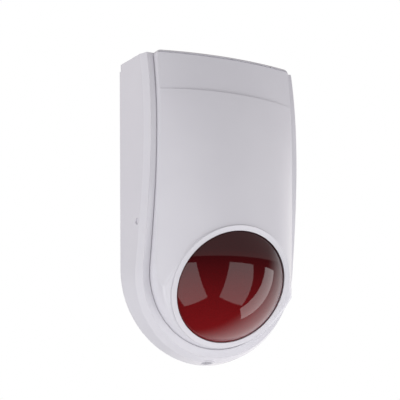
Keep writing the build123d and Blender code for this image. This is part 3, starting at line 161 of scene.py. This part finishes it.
# ---- one finish for each material slot ---------------------------------------------------
LENS_LIT_FOOT = -150 * MM     # the lens's colour runs from a painted lit red at the foot to a painted shade at the brow between these two heights
LENS_SHADED_BROW = -55 * MM


def housing_finish():
    """Glossy off-white shell: very slight clouding, faint flow ripple and soft moulded edges."""
    finish = Finish("housing_plastic", 0.22)
    clouds = finish.span(finish.noise(9, 3), 0.3, 0.7)
    base = finish.mix(clouds, (0.685, 0.672, 0.720), (0.725, 0.712, 0.757))
    specks = finish.span(finish.noise(700, 2, 0.7), 0.72, 0.82, 0.0, 0.35)
    finish.colour(finish.mix(specks, base, (0.56, 0.55, 0.58)))
    finish.rough(finish.span(finish.noise(26, 4), 0.3, 0.7, 0.19, 0.27))
    ripple = finish.math("ADD", finish.noise(36, 1), finish.math("MULTIPLY", finish.noise(1500, 2), 0.06))
    finish.bump(ripple, 0.05, 0.8 * MM, 0.6 * MM)
    finish.set("Coat Weight", 0.25)
    finish.set("Coat Roughness", 0.06)
    return finish.material


def lens_finish():
    """Deep red see-through plastic, polished outside, with painted light and shade: darker towards its upper
    edge as painted shade, brighter red towards its foot as painted light from below.
    """
    finish = Finish("lens_plastic", 0.03)
    depth = finish.span(finish.noise(12, 3), 0.3, 0.7)
    place = finish.add("ShaderNodeSeparateXYZ")
    finish.link(finish.place, place.inputs[0])
    # painted light and shade: the red is painted brighter towards the lens's foot and darker towards its
    # upper edge
    low = finish.span(place.outputs["Z"], LENS_LIT_FOOT, LENS_SHADED_BROW, 1.0, 0.0)
    painted_shade_red = finish.mix(depth, (0.050, 0.0030, 0.0050), (0.062, 0.0040, 0.0060))
    painted_lit_red = finish.mix(depth, (0.330, 0.0100, 0.0130), (0.370, 0.0120, 0.0150))
    finish.colour(finish.mix(low, painted_shade_red, painted_lit_red))
    finish.rough(finish.span(finish.noise(90, 4), 0.35, 0.75, 0.015, 0.045))
    finish.bump(finish.noise(24, 1), 0.02, 0.5 * MM)
    finish.set("IOR", 1.58)
    finish.set("Transmission Weight", 0.45)
    return finish.material


def seal_finish():
    return moulded("seal_rubber", (0.018, 0.018, 0.019), (0.035, 0.035, 0.036),
                   0.75, 500, 0.25, 0.2 * MM, 0.05)


def retainer_finish():
    return moulded("retainer_plastic", (0.50, 0.49, 0.51), (0.58, 0.57, 0.59), 0.45, 800, 0.08)


def base_finish():
    """Satin off-white plate with a spark-eroded skin."""
    return moulded("base_plastic", (0.55, 0.545, 0.57), (0.63, 0.625, 0.65), 0.48, 1100, 0.14, 0.5 * MM, 0.1)


def steel_finish():
    """Zinc-plated steel: cloudy blue-grey plating with fine scratches."""
    finish = Finish("plated_steel", 0.3, 1.0)
    blotch = finish.span(finish.noise(180, 4), 0.3, 0.7)
    edges = finish.worn_edges(0.25 * MM)
    plating = finish.mix(blotch, (0.46, 0.465, 0.48), (0.62, 0.62, 0.61))
    finish.colour(finish.mix(finish.math("MULTIPLY", edges, 0.6), plating, (0.80, 0.80, 0.79)))
    finish.rough(finish.span(finish.noise(420, 3), 0.3, 0.7, 0.22, 0.42))
    lines = finish.noise(1, 3, 0.6, finish.stretched((90, 2600, 2600)))
    finish.bump(lines, 0.12, 0.1 * MM, 0.15 * MM)
    return finish.material


def black_plastic_finish():
    return moulded("black_plastic", (0.016, 0.016, 0.018), (0.032, 0.032, 0.034),
                   0.42, 900, 0.2, 0.3 * MM, 0.2)


def horn_finish():
    return moulded("horn_plastic", (0.022, 0.022, 0.025), (0.042, 0.042, 0.046),
                   0.36, 700, 0.12, 0.4 * MM, 0.2)


def magnet_finish():
    """Ground ferrite: dark grey with turning marks and small chips along its edges."""
    finish = Finish("ferrite", 0.55, 0.25)
    grain = finish.noise(600, 5, 0.7)
    base = finish.mix(finish.span(grain, 0.35, 0.65), (0.045, 0.044, 0.046), (0.10, 0.098, 0.10))
    chips = finish.math("MULTIPLY", finish.worn_edges(0.8 * MM), finish.span(finish.noise(240, 3), 0.5, 0.6))
    finish.colour(finish.mix(chips, base, (0.17, 0.165, 0.165)))
    finish.bump(grain, 0.3, 0.2 * MM, 0.3 * MM)
    return finish.material


def diaphragm_finish():
    return moulded("amber_film", (0.26, 0.17, 0.06), (0.38, 0.27, 0.11), 0.3, 300, 0.1, 0.2 * MM, 0.0)


def board_finish():
    """Green solder mask over copper tracks, with pads and pale legend dots."""
    finish = Finish("solder_mask", 0.3)
    tracks = finish.add("ShaderNodeTexBrick", offset=0.37, squash=0.6, squash_frequency=3)
    flat = finish.stretched((1, 1, 1), (radians(90), 0, 0))
    finish.link(flat, tracks.inputs["Vector"])
    for key, number in (("Scale", 60), ("Mortar Size", 0.035), ("Brick Width", 0.8), ("Row Height", 0.22)):
        tracks.inputs[key].default_value = number
    line = tracks.outputs["Fac"]
    mask = finish.mix(finish.span(finish.noise(50, 3), 0.3, 0.7), (0.008, 0.085, 0.03), (0.012, 0.11, 0.042))
    finish.colour(finish.mix(line, mask, (0.03, 0.20, 0.085)))
    finish.rough(finish.span(finish.noise(70, 3), 0.3, 0.7, 0.24, 0.36))
    finish.bump(line, 0.35, 0.12 * MM, 0.15 * MM)
    return finish.material


def terminal_finish():
    return moulded("terminal_plastic", (0.012, 0.11, 0.045), (0.02, 0.16, 0.07), 0.4, 900, 0.12, 0.2 * MM)


def capacitor_finish():
    """Shrink sleeve: dark blue with a fine stretched sheen."""
    finish = Finish("capacitor_sleeve", 0.25)
    streaks = finish.noise(1, 3, 0.5, finish.stretched((700, 60, 700)))
    finish.colour(finish.mix(finish.span(streaks, 0.3, 0.7), (0.012, 0.016, 0.06), (0.03, 0.04, 0.12)))
    finish.bump(streaks, 0.15, 0.1 * MM, 0.2 * MM)
    return finish.material


def chip_finish():
    return moulded("epoxy_package", (0.012, 0.012, 0.013), (0.024, 0.024, 0.025),
                   0.5, 1600, 0.35, 0.15 * MM, 0.1)


def relay_finish():
    return moulded("relay_case", (0.012, 0.04, 0.19), (0.022, 0.06, 0.26), 0.3, 900, 0.08, 0.3 * MM)


def copper_finish():
    """Enamelled copper turns seen side on."""
    finish = Finish("copper_winding", 0.28, 1.0)
    wave = finish.add("ShaderNodeTexWave", bands_direction="X")
    wave.inputs["Scale"].default_value = 420
    wave.inputs["Distortion"].default_value = 0.8
    finish.link(finish.place, wave.inputs["Vector"])
    turns = wave.outputs["Fac"]
    finish.colour(finish.mix(turns, (0.20, 0.055, 0.018), (0.66, 0.27, 0.11)))
    finish.bump(turns, 0.6, 0.2 * MM, 0.1 * MM)
    return finish.material


def socket_finish():
    return moulded("nylon", (0.66, 0.63, 0.55), (0.74, 0.72, 0.65), 0.42, 900, 0.08, 0.2 * MM, 0.05)


def battery_finish():
    return moulded("battery_case", (0.028, 0.028, 0.032), (0.05, 0.05, 0.056), 0.5, 1000, 0.3, 0.4 * MM, 0.3)


def brass_finish():
    """Tinned brass tag, brassy where it is rubbed."""
    finish = Finish("tinned_brass", 0.3, 1.0)
    rubbed = finish.span(finish.noise(300, 4), 0.42, 0.6)
    finish.colour(finish.mix(rubbed, (0.62, 0.60, 0.56), (0.66, 0.47, 0.20)))
    finish.rough(finish.span(finish.noise(500, 3), 0.3, 0.7, 0.22, 0.4))
    finish.bump(finish.noise(900, 3), 0.15, 0.1 * MM, 0.15 * MM)
    return finish.material


def reflector_finish():
    """Vacuum metallised plastic with a faint orange peel."""
    finish = Finish("metallised", 0.08, 1.0)
    haze = finish.span(finish.noise(60, 4), 0.35, 0.7)
    finish.colour(finish.mix(haze, (0.86, 0.86, 0.87), (0.74, 0.74, 0.76)))
    finish.rough(finish.span(finish.noise(80, 4), 0.3, 0.7, 0.05, 0.16))
    finish.bump(finish.noise(350, 2), 0.06, 0.2 * MM, 0.2 * MM)
    return finish.material


def led_finish():
    """Clear epoxy over a yellow phosphor."""
    finish = Finish("led_epoxy", 0.06)
    phosphor = finish.span(finish.noise(500, 3), 0.3, 0.7)
    finish.colour(finish.mix(phosphor, (0.78, 0.66, 0.22), (0.92, 0.86, 0.55)))
    finish.rough(finish.span(finish.noise(300, 2), 0.3, 0.7, 0.03, 0.10))
    finish.set("Transmission Weight", 0.35)
    return finish.material


def spring_finish():
    """Drawn spring wire, bright with fine draw marks."""
    finish = Finish("spring_wire", 0.24, 1.0)
    marks = finish.noise(2400, 3)
    finish.colour(finish.mix(finish.span(marks, 0.3, 0.7), (0.50, 0.50, 0.51), (0.74, 0.74, 0.73)))
    finish.rough(finish.span(marks, 0.3, 0.7, 0.18, 0.34))
    finish.bump(marks, 0.2, 0.05 * MM)
    return finish.material


def insulation_finish(name, dark, light):
    """PVC insulation: satin with faint scuffs."""
    finish = Finish(name, 0.4)
    scuffs = finish.noise(500, 4, 0.6)
    finish.colour(finish.mix(finish.span(scuffs, 0.3, 0.75), dark, light))
    finish.rough(finish.span(finish.noise(200, 3), 0.3, 0.7, 0.32, 0.52))
    finish.bump(scuffs, 0.15, 0.15 * MM)
    return finish.material


def solder_finish():
    finish = Finish("solder", 0.2, 1.0)
    cloud = finish.span(finish.noise(900, 3), 0.3, 0.7)
    finish.colour(finish.mix(cloud, (0.55, 0.55, 0.56), (0.72, 0.72, 0.71)))
    finish.rough(finish.span(finish.noise(600, 3), 0.3, 0.7, 0.14, 0.36))
    finish.bump(finish.noise(700, 3), 0.3, 0.1 * MM)
    return finish.material


FINISHES = {
    "housing": housing_finish(),
    "lens": lens_finish(),
    "seal": seal_finish(),
    "retainer": retainer_finish(),
    "base": base_finish(),
    "steel": steel_finish(),
    "black_plastic": black_plastic_finish(),
    "horn": horn_finish(),
    "magnet": magnet_finish(),
    "diaphragm": diaphragm_finish(),
    "board": board_finish(),
    "terminal": terminal_finish(),
    "capacitor": capacitor_finish(),
    "chip": chip_finish(),
    "relay": relay_finish(),
    "copper": copper_finish(),
    "socket": socket_finish(),
    "battery": battery_finish(),
    "brass": brass_finish(),
    "reflector": reflector_finish(),
    "led": led_finish(),
    "spring": spring_finish(),
    "lead_red": insulation_finish("red_insulation", (0.30, 0.008, 0.008), (0.46, 0.02, 0.018)),
    "lead_black": insulation_finish("black_insulation", (0.012, 0.012, 0.013), (0.03, 0.03, 0.032)),
    "lead_white": insulation_finish("white_insulation", (0.55, 0.54, 0.51), (0.68, 0.67, 0.64)),
    "solder": solder_finish(),
}


def dress_cad_nodes():
    """Give every CAD node the finish of its slot."""
    for part in frame["record"]["subparts"]:
        node = nodes[part["node"]]
        node.data.materials.clear()
        node.data.materials.append(FINISHES[part["material_slot"]])


# ---- small helpers for pieces --------------------------------------------------------------
def deselect():
    bpy.ops.object.select_all(action="DESELECT")


def editing(piece):
    bpy.context.view_layer.objects.active = piece
    piece.select_set(True)
    bpy.ops.object.mode_set(mode="EDIT")


def done():
    bpy.ops.object.mode_set(mode="OBJECT")


def apply_modifier(piece, kind, **settings):
    modifier = piece.modifiers.new(kind.title(), kind)
    for key, value in settings.items():
        setattr(modifier, key, value)
    bpy.context.view_layer.objects.active = piece
    bpy.ops.object.modifier_apply(modifier=modifier.name)


def settle(piece, turn=None):
    """Put the piece's place in its mesh and leave its object at the origin."""
    deselect()
    piece.select_set(True)
    bpy.context.view_layer.objects.active = piece
    if turn is not None:
        piece.matrix_world = turn @ piece.matrix_world
    bpy.context.view_layer.update()
    bpy.ops.object.transform_apply(location=True, rotation=True, scale=True)


def fit_out(piece, name, body, slot, finish=None, smooth=30):
    """Name a piece, give it its finish and tie it to its body."""
    piece.name = name
    piece.data.materials.clear()
    piece.data.materials.append(FINISHES[finish or slot])
    deselect()
    piece.select_set(True)
    bpy.context.view_layer.objects.active = piece
    bpy.ops.object.shade_smooth_by_angle(angle=radians(smooth))
    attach(piece, body)
    return piece


def turned(profile, sides, close=False):
    """A turned piece: a circle is drawn out ring by ring through (radius, height) pairs."""
    deselect()
    start_radius, start_height = profile[0]
    bpy.ops.mesh.primitive_circle_add(vertices=sides, radius=start_radius, location=(0, 0, start_height))
    piece = bpy.context.object
    settle(piece)
    editing(piece)
    bpy.ops.mesh.select_all(action="SELECT")
    before_radius, before_height = start_radius, start_height
    for radius, height in profile[1:]:
        bpy.ops.mesh.extrude_edges_move(TRANSFORM_OT_translate={"value": (0, 0, height - before_height)})
        share = radius / before_radius
        bpy.ops.transform.resize(value=(share, share, 1), center_override=(0, 0, height))
        before_radius, before_height = radius, height
    bpy.ops.mesh.select_all(action="SELECT")
    if close:
        bpy.ops.mesh.remove_doubles(threshold=1e-7)
    bpy.ops.mesh.normals_make_consistent(inside=False)
    done()
    return piece


def joined(pieces):
    deselect()
    for piece in pieces:
        piece.select_set(True)
    bpy.context.view_layer.objects.active = pieces[0]
    bpy.ops.object.join()
    return pieces[0]


def block(low, high, bevel, segments=2):
    """A block between two corners, with all its edges rounded."""
    deselect()
    middle = [(a + b) / 2 for a, b in zip(low, high)]
    bpy.ops.mesh.primitive_cube_add(size=1, location=middle, scale=[b - a for a, b in zip(low, high)])
    piece = bpy.context.object
    settle(piece)
    editing(piece)
    bpy.ops.mesh.select_all(action="SELECT")
    bpy.ops.mesh.bevel(offset=bevel, segments=segments, affect="EDGES")
    done()
    return piece


def centre_of(name):
    low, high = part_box(name)
    return (low + high) / 2


# ---- strobe lens ----------------------------------------------------------------------------
LENS_TILT = radians(30)
LENS_RADIUS = 61.3 * MM
LENS_DOME = 30 * MM
LENS_WALL = 2.5 * MM
LENS_SKIRT = 4 * MM
FLANGE_RADIUS = 64.6 * MM
FLANGE_THICK = 2.4 * MM
LENS_RIM = 0.5 * MM       # straight rim under the dome
LENS_SIDES = 128
LENS_TIP = 0.02 * MM      # radius left at the crown
DOME_STEPS = 26
RIB_RINGS = 22
RIB_DEPTH = 0.9 * MM
RIB_RUN = 0.25 * MM
RIB_MARGIN = 1.5 * MM
DOME_SPHERE = (LENS_RADIUS ** 2 + LENS_DOME ** 2) / (2 * LENS_DOME)


def dome_height(radius, sphere, top):
    return top - sphere + (sphere ** 2 - radius ** 2) ** 0.5


def lens_turn():
    """From a lens standing on its axis at the origin to its tilted seat in the cover."""
    axis = Vector((0, -cos(LENS_TILT), -sin(LENS_TILT)))
    seat = LENS_SKIRT - LENS_RIM
    turn = Matrix.Rotation(radians(90) + LENS_TILT, 4, "X")
    return Matrix.Translation(centre_of("lens_seal") + axis * seat) @ turn


def make_lens():
    """Lens with a polished dome, and rings of prisms on its inside."""
    outer = [(FLANGE_RADIUS, -LENS_SKIRT - FLANGE_THICK), (FLANGE_RADIUS, -LENS_SKIRT),
             (LENS_RADIUS, -LENS_SKIRT), (LENS_RADIUS, -LENS_RIM)]
    for step in range(DOME_STEPS):
        radius = LENS_RADIUS * cos(pi / 2 * step / DOME_STEPS)
        outer.append((radius, dome_height(radius, DOME_SPHERE, LENS_DOME)))
    outer.append((LENS_TIP, LENS_DOME))
    inner_radius = LENS_RADIUS - LENS_WALL
    hollow = LENS_DOME - LENS_WALL
    hollow_sphere = (inner_radius ** 2 + hollow ** 2) / (2 * hollow)
    inner = [(LENS_TIP, hollow)]
    for ring in range(1, RIB_RINGS + 1):
        radius = (inner_radius - RIB_MARGIN) * ring / RIB_RINGS
        height = dome_height(radius, hollow_sphere, hollow)
        inner.append((radius - RIB_RUN, height - RIB_DEPTH))
        inner.append((radius, height))
    inner.append((inner_radius, 0.0))
    inner.append((inner_radius, -LENS_SKIRT - FLANGE_THICK))
    inner.append((FLANGE_RADIUS, -LENS_SKIRT - FLANGE_THICK))
    lens = turned(outer + inner, LENS_SIDES, close=True)
    settle(lens, lens_turn())
    fit_out(lens, "lens_dome", "cover", "lens", smooth=28)
    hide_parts("strobe_lens")


# ---- horn -------------------------------------------------------------------------------------
HORN_WALL = 2 * MM
HORN_STEPS = 14
HORN_CORNER = 7 * MM
HORN_THROAT = 12 * MM     # half widths of the throat and of the mouth
HORN_MOUTH = 21 * MM
HORN_MARGIN = 0.4 * MM
HORN_GROWTH = 2.6
COLLAR_THICK = 3 * MM
COLLAR_EDGE = 0.5 * MM
COLLAR_LAP = 1.2 * MM
COLLAR_SIDES = 72


def make_horn():
    """Horn that opens in a growing curve, with a collar where it meets the driver."""
    low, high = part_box("horn_flare")
    driver_low, driver_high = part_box("driver_cup")
    axis_y = (low.y + high.y) / 2
    half_x = (high.x - low.x) / 2
    collar_radius = (driver_high.y - driver_low.y) / 2
    deselect()
    bpy.ops.mesh.primitive_plane_add(size=1, location=(0, 0, 0))
    horn = bpy.context.object
    horn.scale = (2 * HORN_THROAT, 2 * HORN_THROAT, 1)
    settle(horn)
    editing(horn)
    bpy.ops.mesh.select_all(action="SELECT")
    bpy.ops.mesh.bevel(offset=HORN_CORNER, segments=6, affect="VERTICES")
    bpy.ops.mesh.delete(type="ONLY_FACE")
    bpy.ops.mesh.select_all(action="SELECT")
    length = high.z - low.z
    wide_before, deep_before = HORN_THROAT, HORN_THROAT
    for step in range(1, HORN_STEPS + 1):
        share = step / HORN_STEPS
        opening = (HORN_GROWTH ** (share * 2) - 1) / (HORN_GROWTH ** 2 - 1)
        wide = HORN_THROAT + (half_x - HORN_THROAT - HORN_MARGIN) * opening
        deep = HORN_THROAT + (HORN_MOUTH - HORN_THROAT - HORN_MARGIN) * opening
        bpy.ops.mesh.extrude_edges_move(TRANSFORM_OT_translate={"value": (0, 0, length / HORN_STEPS)})
        bpy.ops.transform.resize(value=(wide / wide_before, deep / deep_before, 1), center_override=(0, 0, 0))
        wide_before, deep_before = wide, deep
    bpy.ops.mesh.select_all(action="SELECT")
    bpy.ops.mesh.normals_make_consistent(inside=False)
    done()
    horn.location = (0, axis_y, low.z)
    settle(horn)
    apply_modifier(horn, "SOLIDIFY", thickness=HORN_WALL, offset=-1, use_even_offset=True)
    collar = turned([(HORN_THROAT, COLLAR_THICK), (HORN_THROAT, 0.0), (collar_radius - COLLAR_EDGE, 0.0),
                     (collar_radius, COLLAR_EDGE), (collar_radius, COLLAR_THICK - COLLAR_EDGE),
                     (collar_radius - COLLAR_EDGE, COLLAR_THICK), (HORN_THROAT + COLLAR_LAP, COLLAR_THICK),
                     (HORN_THROAT, COLLAR_THICK)], COLLAR_SIDES, close=True)
    collar.location = (0, axis_y, low.z)
    settle(collar)
    horn = joined([horn, collar])
    fit_out(horn, "horn_body", "wall_unit", "horn", smooth=35)
    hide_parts("horn_flare")


# ---- tamper spring ------------------------------------------------------------------------------
SPRING_WIRE = 0.25 * MM
SPRING_TURNS = 7
POINTS_PER_TURN = 20


def make_spring():
    """Coil round the tamper plunger, from the switch's pocket to the plunger's cap."""
    low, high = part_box("tamper_spring")
    middle = centre_of("tamper_spring")
    radius = (high.x - low.x) / 2 - SPRING_WIRE
    length = (high.y - low.y) - 2 * SPRING_WIRE
    curve = bpy.data.curves.new("spring_line", "CURVE")
    curve.dimensions = "3D"
    line = curve.splines.new("NURBS")
    count = SPRING_TURNS * POINTS_PER_TURN + 1
    line.points.add(count - 1)
    for index in range(count):
        angle = tau * index / POINTS_PER_TURN
        share = index / (count - 1)
        line.points[index].co = (middle.x + radius * cos(angle), low.y + SPRING_WIRE + length * share,
                                 middle.z + radius * sin(angle), 1)
    line.order_u = 3
    line.use_endpoint_u = True
    curve.bevel_depth = SPRING_WIRE
    curve.bevel_resolution = 3
    curve.use_fill_caps = True
    coil = bpy.data.objects.new("spring_line", curve)
    bpy.context.scene.collection.objects.link(coil)
    deselect()
    coil.select_set(True)
    bpy.context.view_layer.objects.active = coil
    bpy.ops.object.convert(target="MESH")
    coil = bpy.context.object
    fit_out(coil, "spring_coil", "plunger", "spring", smooth=60)
    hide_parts("tamper_spring")


# ---- details on the board --------------------------------------------------------------------------
LEG_HALF = 0.2 * MM       # half a leg's width
LEG_THICK = 0.25 * MM
LEG_RISE = 1.5 * MM
LEG_SHOULDER = 0.9 * MM   # out from the chip's side
LEG_TOE = 1.7 * MM
TOE_THICK = 0.3 * MM
LEG_EDGE = 0.05 * MM
RESISTOR_HALF = (0.9 * MM, 0.75 * MM)
RESISTOR_RISE = 0.7 * MM
END_SPAN = (0.85 * MM, 1.45 * MM)
END_HALF = 0.78 * MM
END_RISE = 0.75 * MM


def rows_of_legs(chip, count, name):
    """Gull-wing legs down the two long sides of a chip."""
    low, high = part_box(chip)
    board_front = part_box("main_board")[0].y
    legs = []
    for side in (-1, 1):
        edge = high.x if side > 0 else low.x
        for index in range(count):
            z = low.z + (high.z - low.z) * (index + 0.5) / count
            inner, outer = edge - side * LEG_HALF, edge + side * LEG_SHOULDER
            foot = edge + side * LEG_TOE
            legs.append(block((min(inner, outer), board_front - LEG_RISE, z - LEG_HALF),
                              (max(inner, outer), board_front - LEG_RISE + LEG_THICK, z + LEG_HALF),
                              LEG_EDGE, 1))
            legs.append(block((min(outer, foot), board_front - TOE_THICK, z - LEG_HALF),
                              (max(outer, foot), board_front, z + LEG_HALF), LEG_EDGE, 1))
            near, far = sorted((outer - side * LEG_THICK, outer))
            legs.append(block((near, board_front - LEG_RISE, z - LEG_HALF),
                              (far, board_front - 0.02 * MM, z + LEG_HALF), LEG_EDGE, 1))
    fit_out(joined(legs), name, "wall_unit", "steel", "solder")


def small_parts():
    """Chip resistors and capacitors with tinned ends, in rows between the larger parts."""
    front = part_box("main_board")[0].y
    chip = centre_of("controller_chip")
    bodies, ends = [], []
    spots = [(chip.x + dx * MM, chip.z + dz * MM) for dx, dz in
             ((-10, 12), (-10, 8), (-10, 4), (9, 14), (12.5, 14), (16, 14), (9, -12), (12.5, -12),
              (-28, -12), (-24, -12), (12, -16), (16, -16), (-36, 26), (30, 26), (34, 26), (38, 26),
              (44, 20), (44, 16))]
    half_wide, half_tall = RESISTOR_HALF
    for x, z in spots:
        bodies.append(block((x - half_wide, front - RESISTOR_RISE, z - half_tall),
                            (x + half_wide, front, z + half_tall), 0.1 * MM, 1))
        for side in (-1, 1):
            near, far = sorted(x + side * reach for reach in END_SPAN)
            ends.append(block((near, front - END_RISE, z - END_HALF),
                              (far, front, z + END_HALF), 0.12 * MM, 1))
    fit_out(joined(bodies), "chip_resistors", "wall_unit", "chip")
    fit_out(joined(ends), "resistor_ends", "wall_unit", "steel", "solder")


def capacitor_tops():
    """Scored aluminium caps on the capacitors."""
    caps = []
    for index in (1, 2, 3):
        low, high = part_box(f"capacitor_{index}")
        middle = centre_of(f"capacitor_{index}")
        radius = (high.x - low.x) / 2
        cap = turned([(0.05 * MM, 0.12 * MM), (0.5 * MM, 0.05 * MM), (radius * 0.72, 0.05 * MM),
                      (radius * 0.80, 0.22 * MM), (radius * 0.88, 0.05 * MM), (radius * 0.9, -0.3 * MM),
                      (0.05 * MM, -0.3 * MM), (0.05 * MM, 0.12 * MM)], 40, close=True)
        upright = Matrix.Rotation(radians(90), 4, "X")
        cap.matrix_world = Matrix.Translation((middle.x, low.y, middle.z)) @ upright
        settle(cap)
        caps.append(cap)
    fit_out(joined(caps), "capacitor_caps", "wall_unit", "steel", smooth=25)


LID_SIDE = 18 * MM
LID_DEPTHS = (3 * MM, 12 * MM)
LID_SINK = 0.4 * MM
LID_RISE = 0.8 * MM
PLUGS = 6
PLUG_RADIUS = 3.2 * MM
PLUG_HIGH = 1.2 * MM
PLUG_DEPTH = 20 * MM      # plugs' row, from the battery's front


def battery_lid():
    """Moulded lid panel on the battery's top face, with a row of vent plugs."""
    low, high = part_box("battery")
    top = high.z
    front, back = LID_DEPTHS
    lid = block((low.x + LID_SIDE, low.y + front, top - LID_SINK),
                (high.x - LID_SIDE, low.y + back, top + LID_RISE), 0.35 * MM)
    plugs = [lid]
    for index in range(PLUGS):
        x = low.x + (high.x - low.x) * (index + 2.5) / 10
        deselect()
        bpy.ops.mesh.primitive_cylinder_add(vertices=28, radius=PLUG_RADIUS, depth=PLUG_HIGH,
                                            location=(x, low.y + PLUG_DEPTH, top + PLUG_HIGH / 4))
        plug = bpy.context.object
        settle(plug)
        apply_modifier(plug, "BEVEL", width=0.3 * MM, segments=2)
        plugs.append(plug)
    fit_out(joined(plugs), "battery_lid", "wall_unit", "battery")


# ---- studio ------------------------------------------------------------------------------------------
FLOOR_SIZE = 12
FLOOR_HEIGHT = -1.3
FLOOR_GLOW = 0.12
CAMERA_DISTANCE = 1.779
CAMERA_RIGHT = 0.0009
CAMERA_UP = 0.0203
FOCAL_LENGTH = 148.1
SENSOR_WIDTH = 36
CAST_BELOW = 0.74         # strength of the world's light from below and from above
CAST_ABOVE = 0.42
CEILING = (0.215, 0.235)  # where the mirrored ceiling begins and is whole
CORNER = (0.50, 0.97)     # where the mirrored bright corner begins and is whole
CORNER_WAY = (0.80, 0.52, -0.30)
BOX_DISTANCE = 1.1        # of the softboxes that the lens mirrors
LENS_SPOT = Vector((0, -0.083, -0.096))


def make_floor():
    deselect()
    bpy.ops.mesh.primitive_plane_add(size=FLOOR_SIZE, location=(0, 0, FLOOR_HEIGHT))
    floor = bpy.context.object
    floor.name = "studio_floor"
    finish = Finish("floor_paper", 0.9)
    mottle = finish.span(finish.noise(3, 3), 0.3, 0.7)
    finish.colour(finish.mix(mottle, (0.80, 0.80, 0.81), (0.84, 0.84, 0.85)))
    finish.set("Emission Color", (1, 1, 1, 1))
    finish.set("Emission Strength", FLOOR_GLOW)
    floor.data.materials.append(finish.material)
    floor.visible_glossy = False


def make_camera():
    """Long lens, a little below the siren and to its left."""
    yaw, pitch, roll = radians(28.35), radians(14.26), radians(-0.91)
    back = Vector((-sin(yaw) * cos(pitch), -cos(yaw) * cos(pitch), -sin(pitch)))
    level = Vector((cos(yaw), -sin(yaw), 0))
    rise = back.cross(level)
    right = cos(roll) * level + sin(roll) * rise
    up = cos(roll) * rise - sin(roll) * level
    camera_data = bpy.data.cameras.new("camera")
    camera_data.lens = FOCAL_LENGTH
    camera_data.sensor_width = SENSOR_WIDTH
    camera = bpy.data.objects.new("camera", camera_data)
    turn = Matrix((right, up, back)).transposed().to_4x4()
    place = CAMERA_DISTANCE * back + CAMERA_RIGHT * right + CAMERA_UP * up
    camera.matrix_world = Matrix.Translation(place) @ turn
    bpy.context.scene.collection.objects.link(camera)
    bpy.context.scene.camera = camera


def softbox(name, direction, distance, width, height, power):
    """Rectangular light in a direction from the lens, facing it."""
    light = bpy.data.lights.new(name, "AREA")
    light.shape = "RECTANGLE"
    light.size = width
    light.size_y = height
    light.energy = power
    lamp = bpy.data.objects.new(name, light)
    way = Vector(direction).normalized()
    facing = way.to_track_quat("Z", "Y").to_matrix().to_4x4()
    lamp.matrix_world = Matrix.Translation(LENS_SPOT + way * distance) @ facing
    bpy.context.scene.collection.objects.link(lamp)
    return lamp


def make_world():
    """White surroundings; shiny surfaces mirror a dim room with a pale ceiling and a bright far corner."""
    world = bpy.data.worlds.new("studio")
    bpy.context.scene.world = world
    world.use_nodes = True
    tree = world.node_tree
    tree.nodes.clear()

    def add(kind, **settings):
        node = tree.nodes.new(kind)
        for key, value in settings.items():
            setattr(node, key, value)
        return node

    def light(colour, strength=1.0):
        node = add("ShaderNodeBackground")
        node.inputs["Color"].default_value = (*colour, 1)
        node.inputs["Strength"].default_value = strength
        return node

    def span(value, low, high, to_low, to_high):
        node = add("ShaderNodeMapRange", clamp=True, interpolation_type="SMOOTHSTEP")
        for key, number in (("From Min", low), ("From Max", high), ("To Min", to_low), ("To Max", to_high)):
            node.inputs[key].default_value = number
        tree.links.new(value, node.inputs["Value"])
        return node.outputs["Result"]

    def blend_by(factor, first, second):
        node = add("ShaderNodeMixShader")
        tree.links.new(factor, node.inputs["Fac"])
        tree.links.new(first.outputs[0], node.inputs[1])
        tree.links.new(second.outputs[0], node.inputs[2])
        return node

    way = add("ShaderNodeTexCoord").outputs["Generated"]
    parts = add("ShaderNodeSeparateXYZ")
    tree.links.new(way, parts.inputs[0])
    towards = add("ShaderNodeVectorMath", operation="DOT_PRODUCT")
    tree.links.new(way, towards.inputs[0])
    towards.inputs[1].default_value = Vector(CORNER_WAY).normalized()
    cast = light((1.0, 0.995, 1.01))
    tree.links.new(span(parts.outputs["Z"], -0.6, 0.6, CAST_BELOW, CAST_ABOVE), cast.inputs["Strength"])
    room = blend_by(span(parts.outputs["Z"], *CEILING, 0, 1), light((0.035, 0.03, 0.032)),
                    light((0.42, 0.36, 0.36)))
    corner = blend_by(span(towards.outputs["Value"], *CORNER, 0, 1), room, light((1.0, 0.97, 0.98), 1.15))
    path = add("ShaderNodeLightPath")
    other = blend_by(path.outputs["Is Glossy Ray"], cast, corner)
    whole = blend_by(path.outputs["Is Camera Ray"], other, light((1, 1, 1), 1.0))
    tree.links.new(whole.outputs[0], add("ShaderNodeOutputWorld").inputs["Surface"])
    bpy.context.scene.view_settings.view_transform = "Standard"


def make_lights():
    """Two tall softboxes, a strip to the right and a soft fill from the far left."""
    softbox("left_softbox", (-0.864, -0.272, -0.423), BOX_DISTANCE, 0.92, 1.27, 4.4)
    softbox("front_softbox", (0.295, -0.857, -0.423), BOX_DISTANCE, 0.92, 1.27, 4.4)
    softbox("right_softbox", (0.871, -0.250, -0.423), BOX_DISTANCE, 0.47, 1.30, 3.8)
    fill = softbox("left_fill", (-0.97, 0.20, 0.05), 1.5, 1.4, 1.6, 6.0)
    fill.visible_glossy = False


dress_cad_nodes()
make_lens()
make_horn()
make_spring()
rows_of_legs("controller_chip", 12, "controller_legs")
rows_of_legs("driver_chip", 8, "driver_legs")
small_parts()
capacitor_tops()
battery_lid()
make_floor()
make_camera()
make_world()
make_lights()
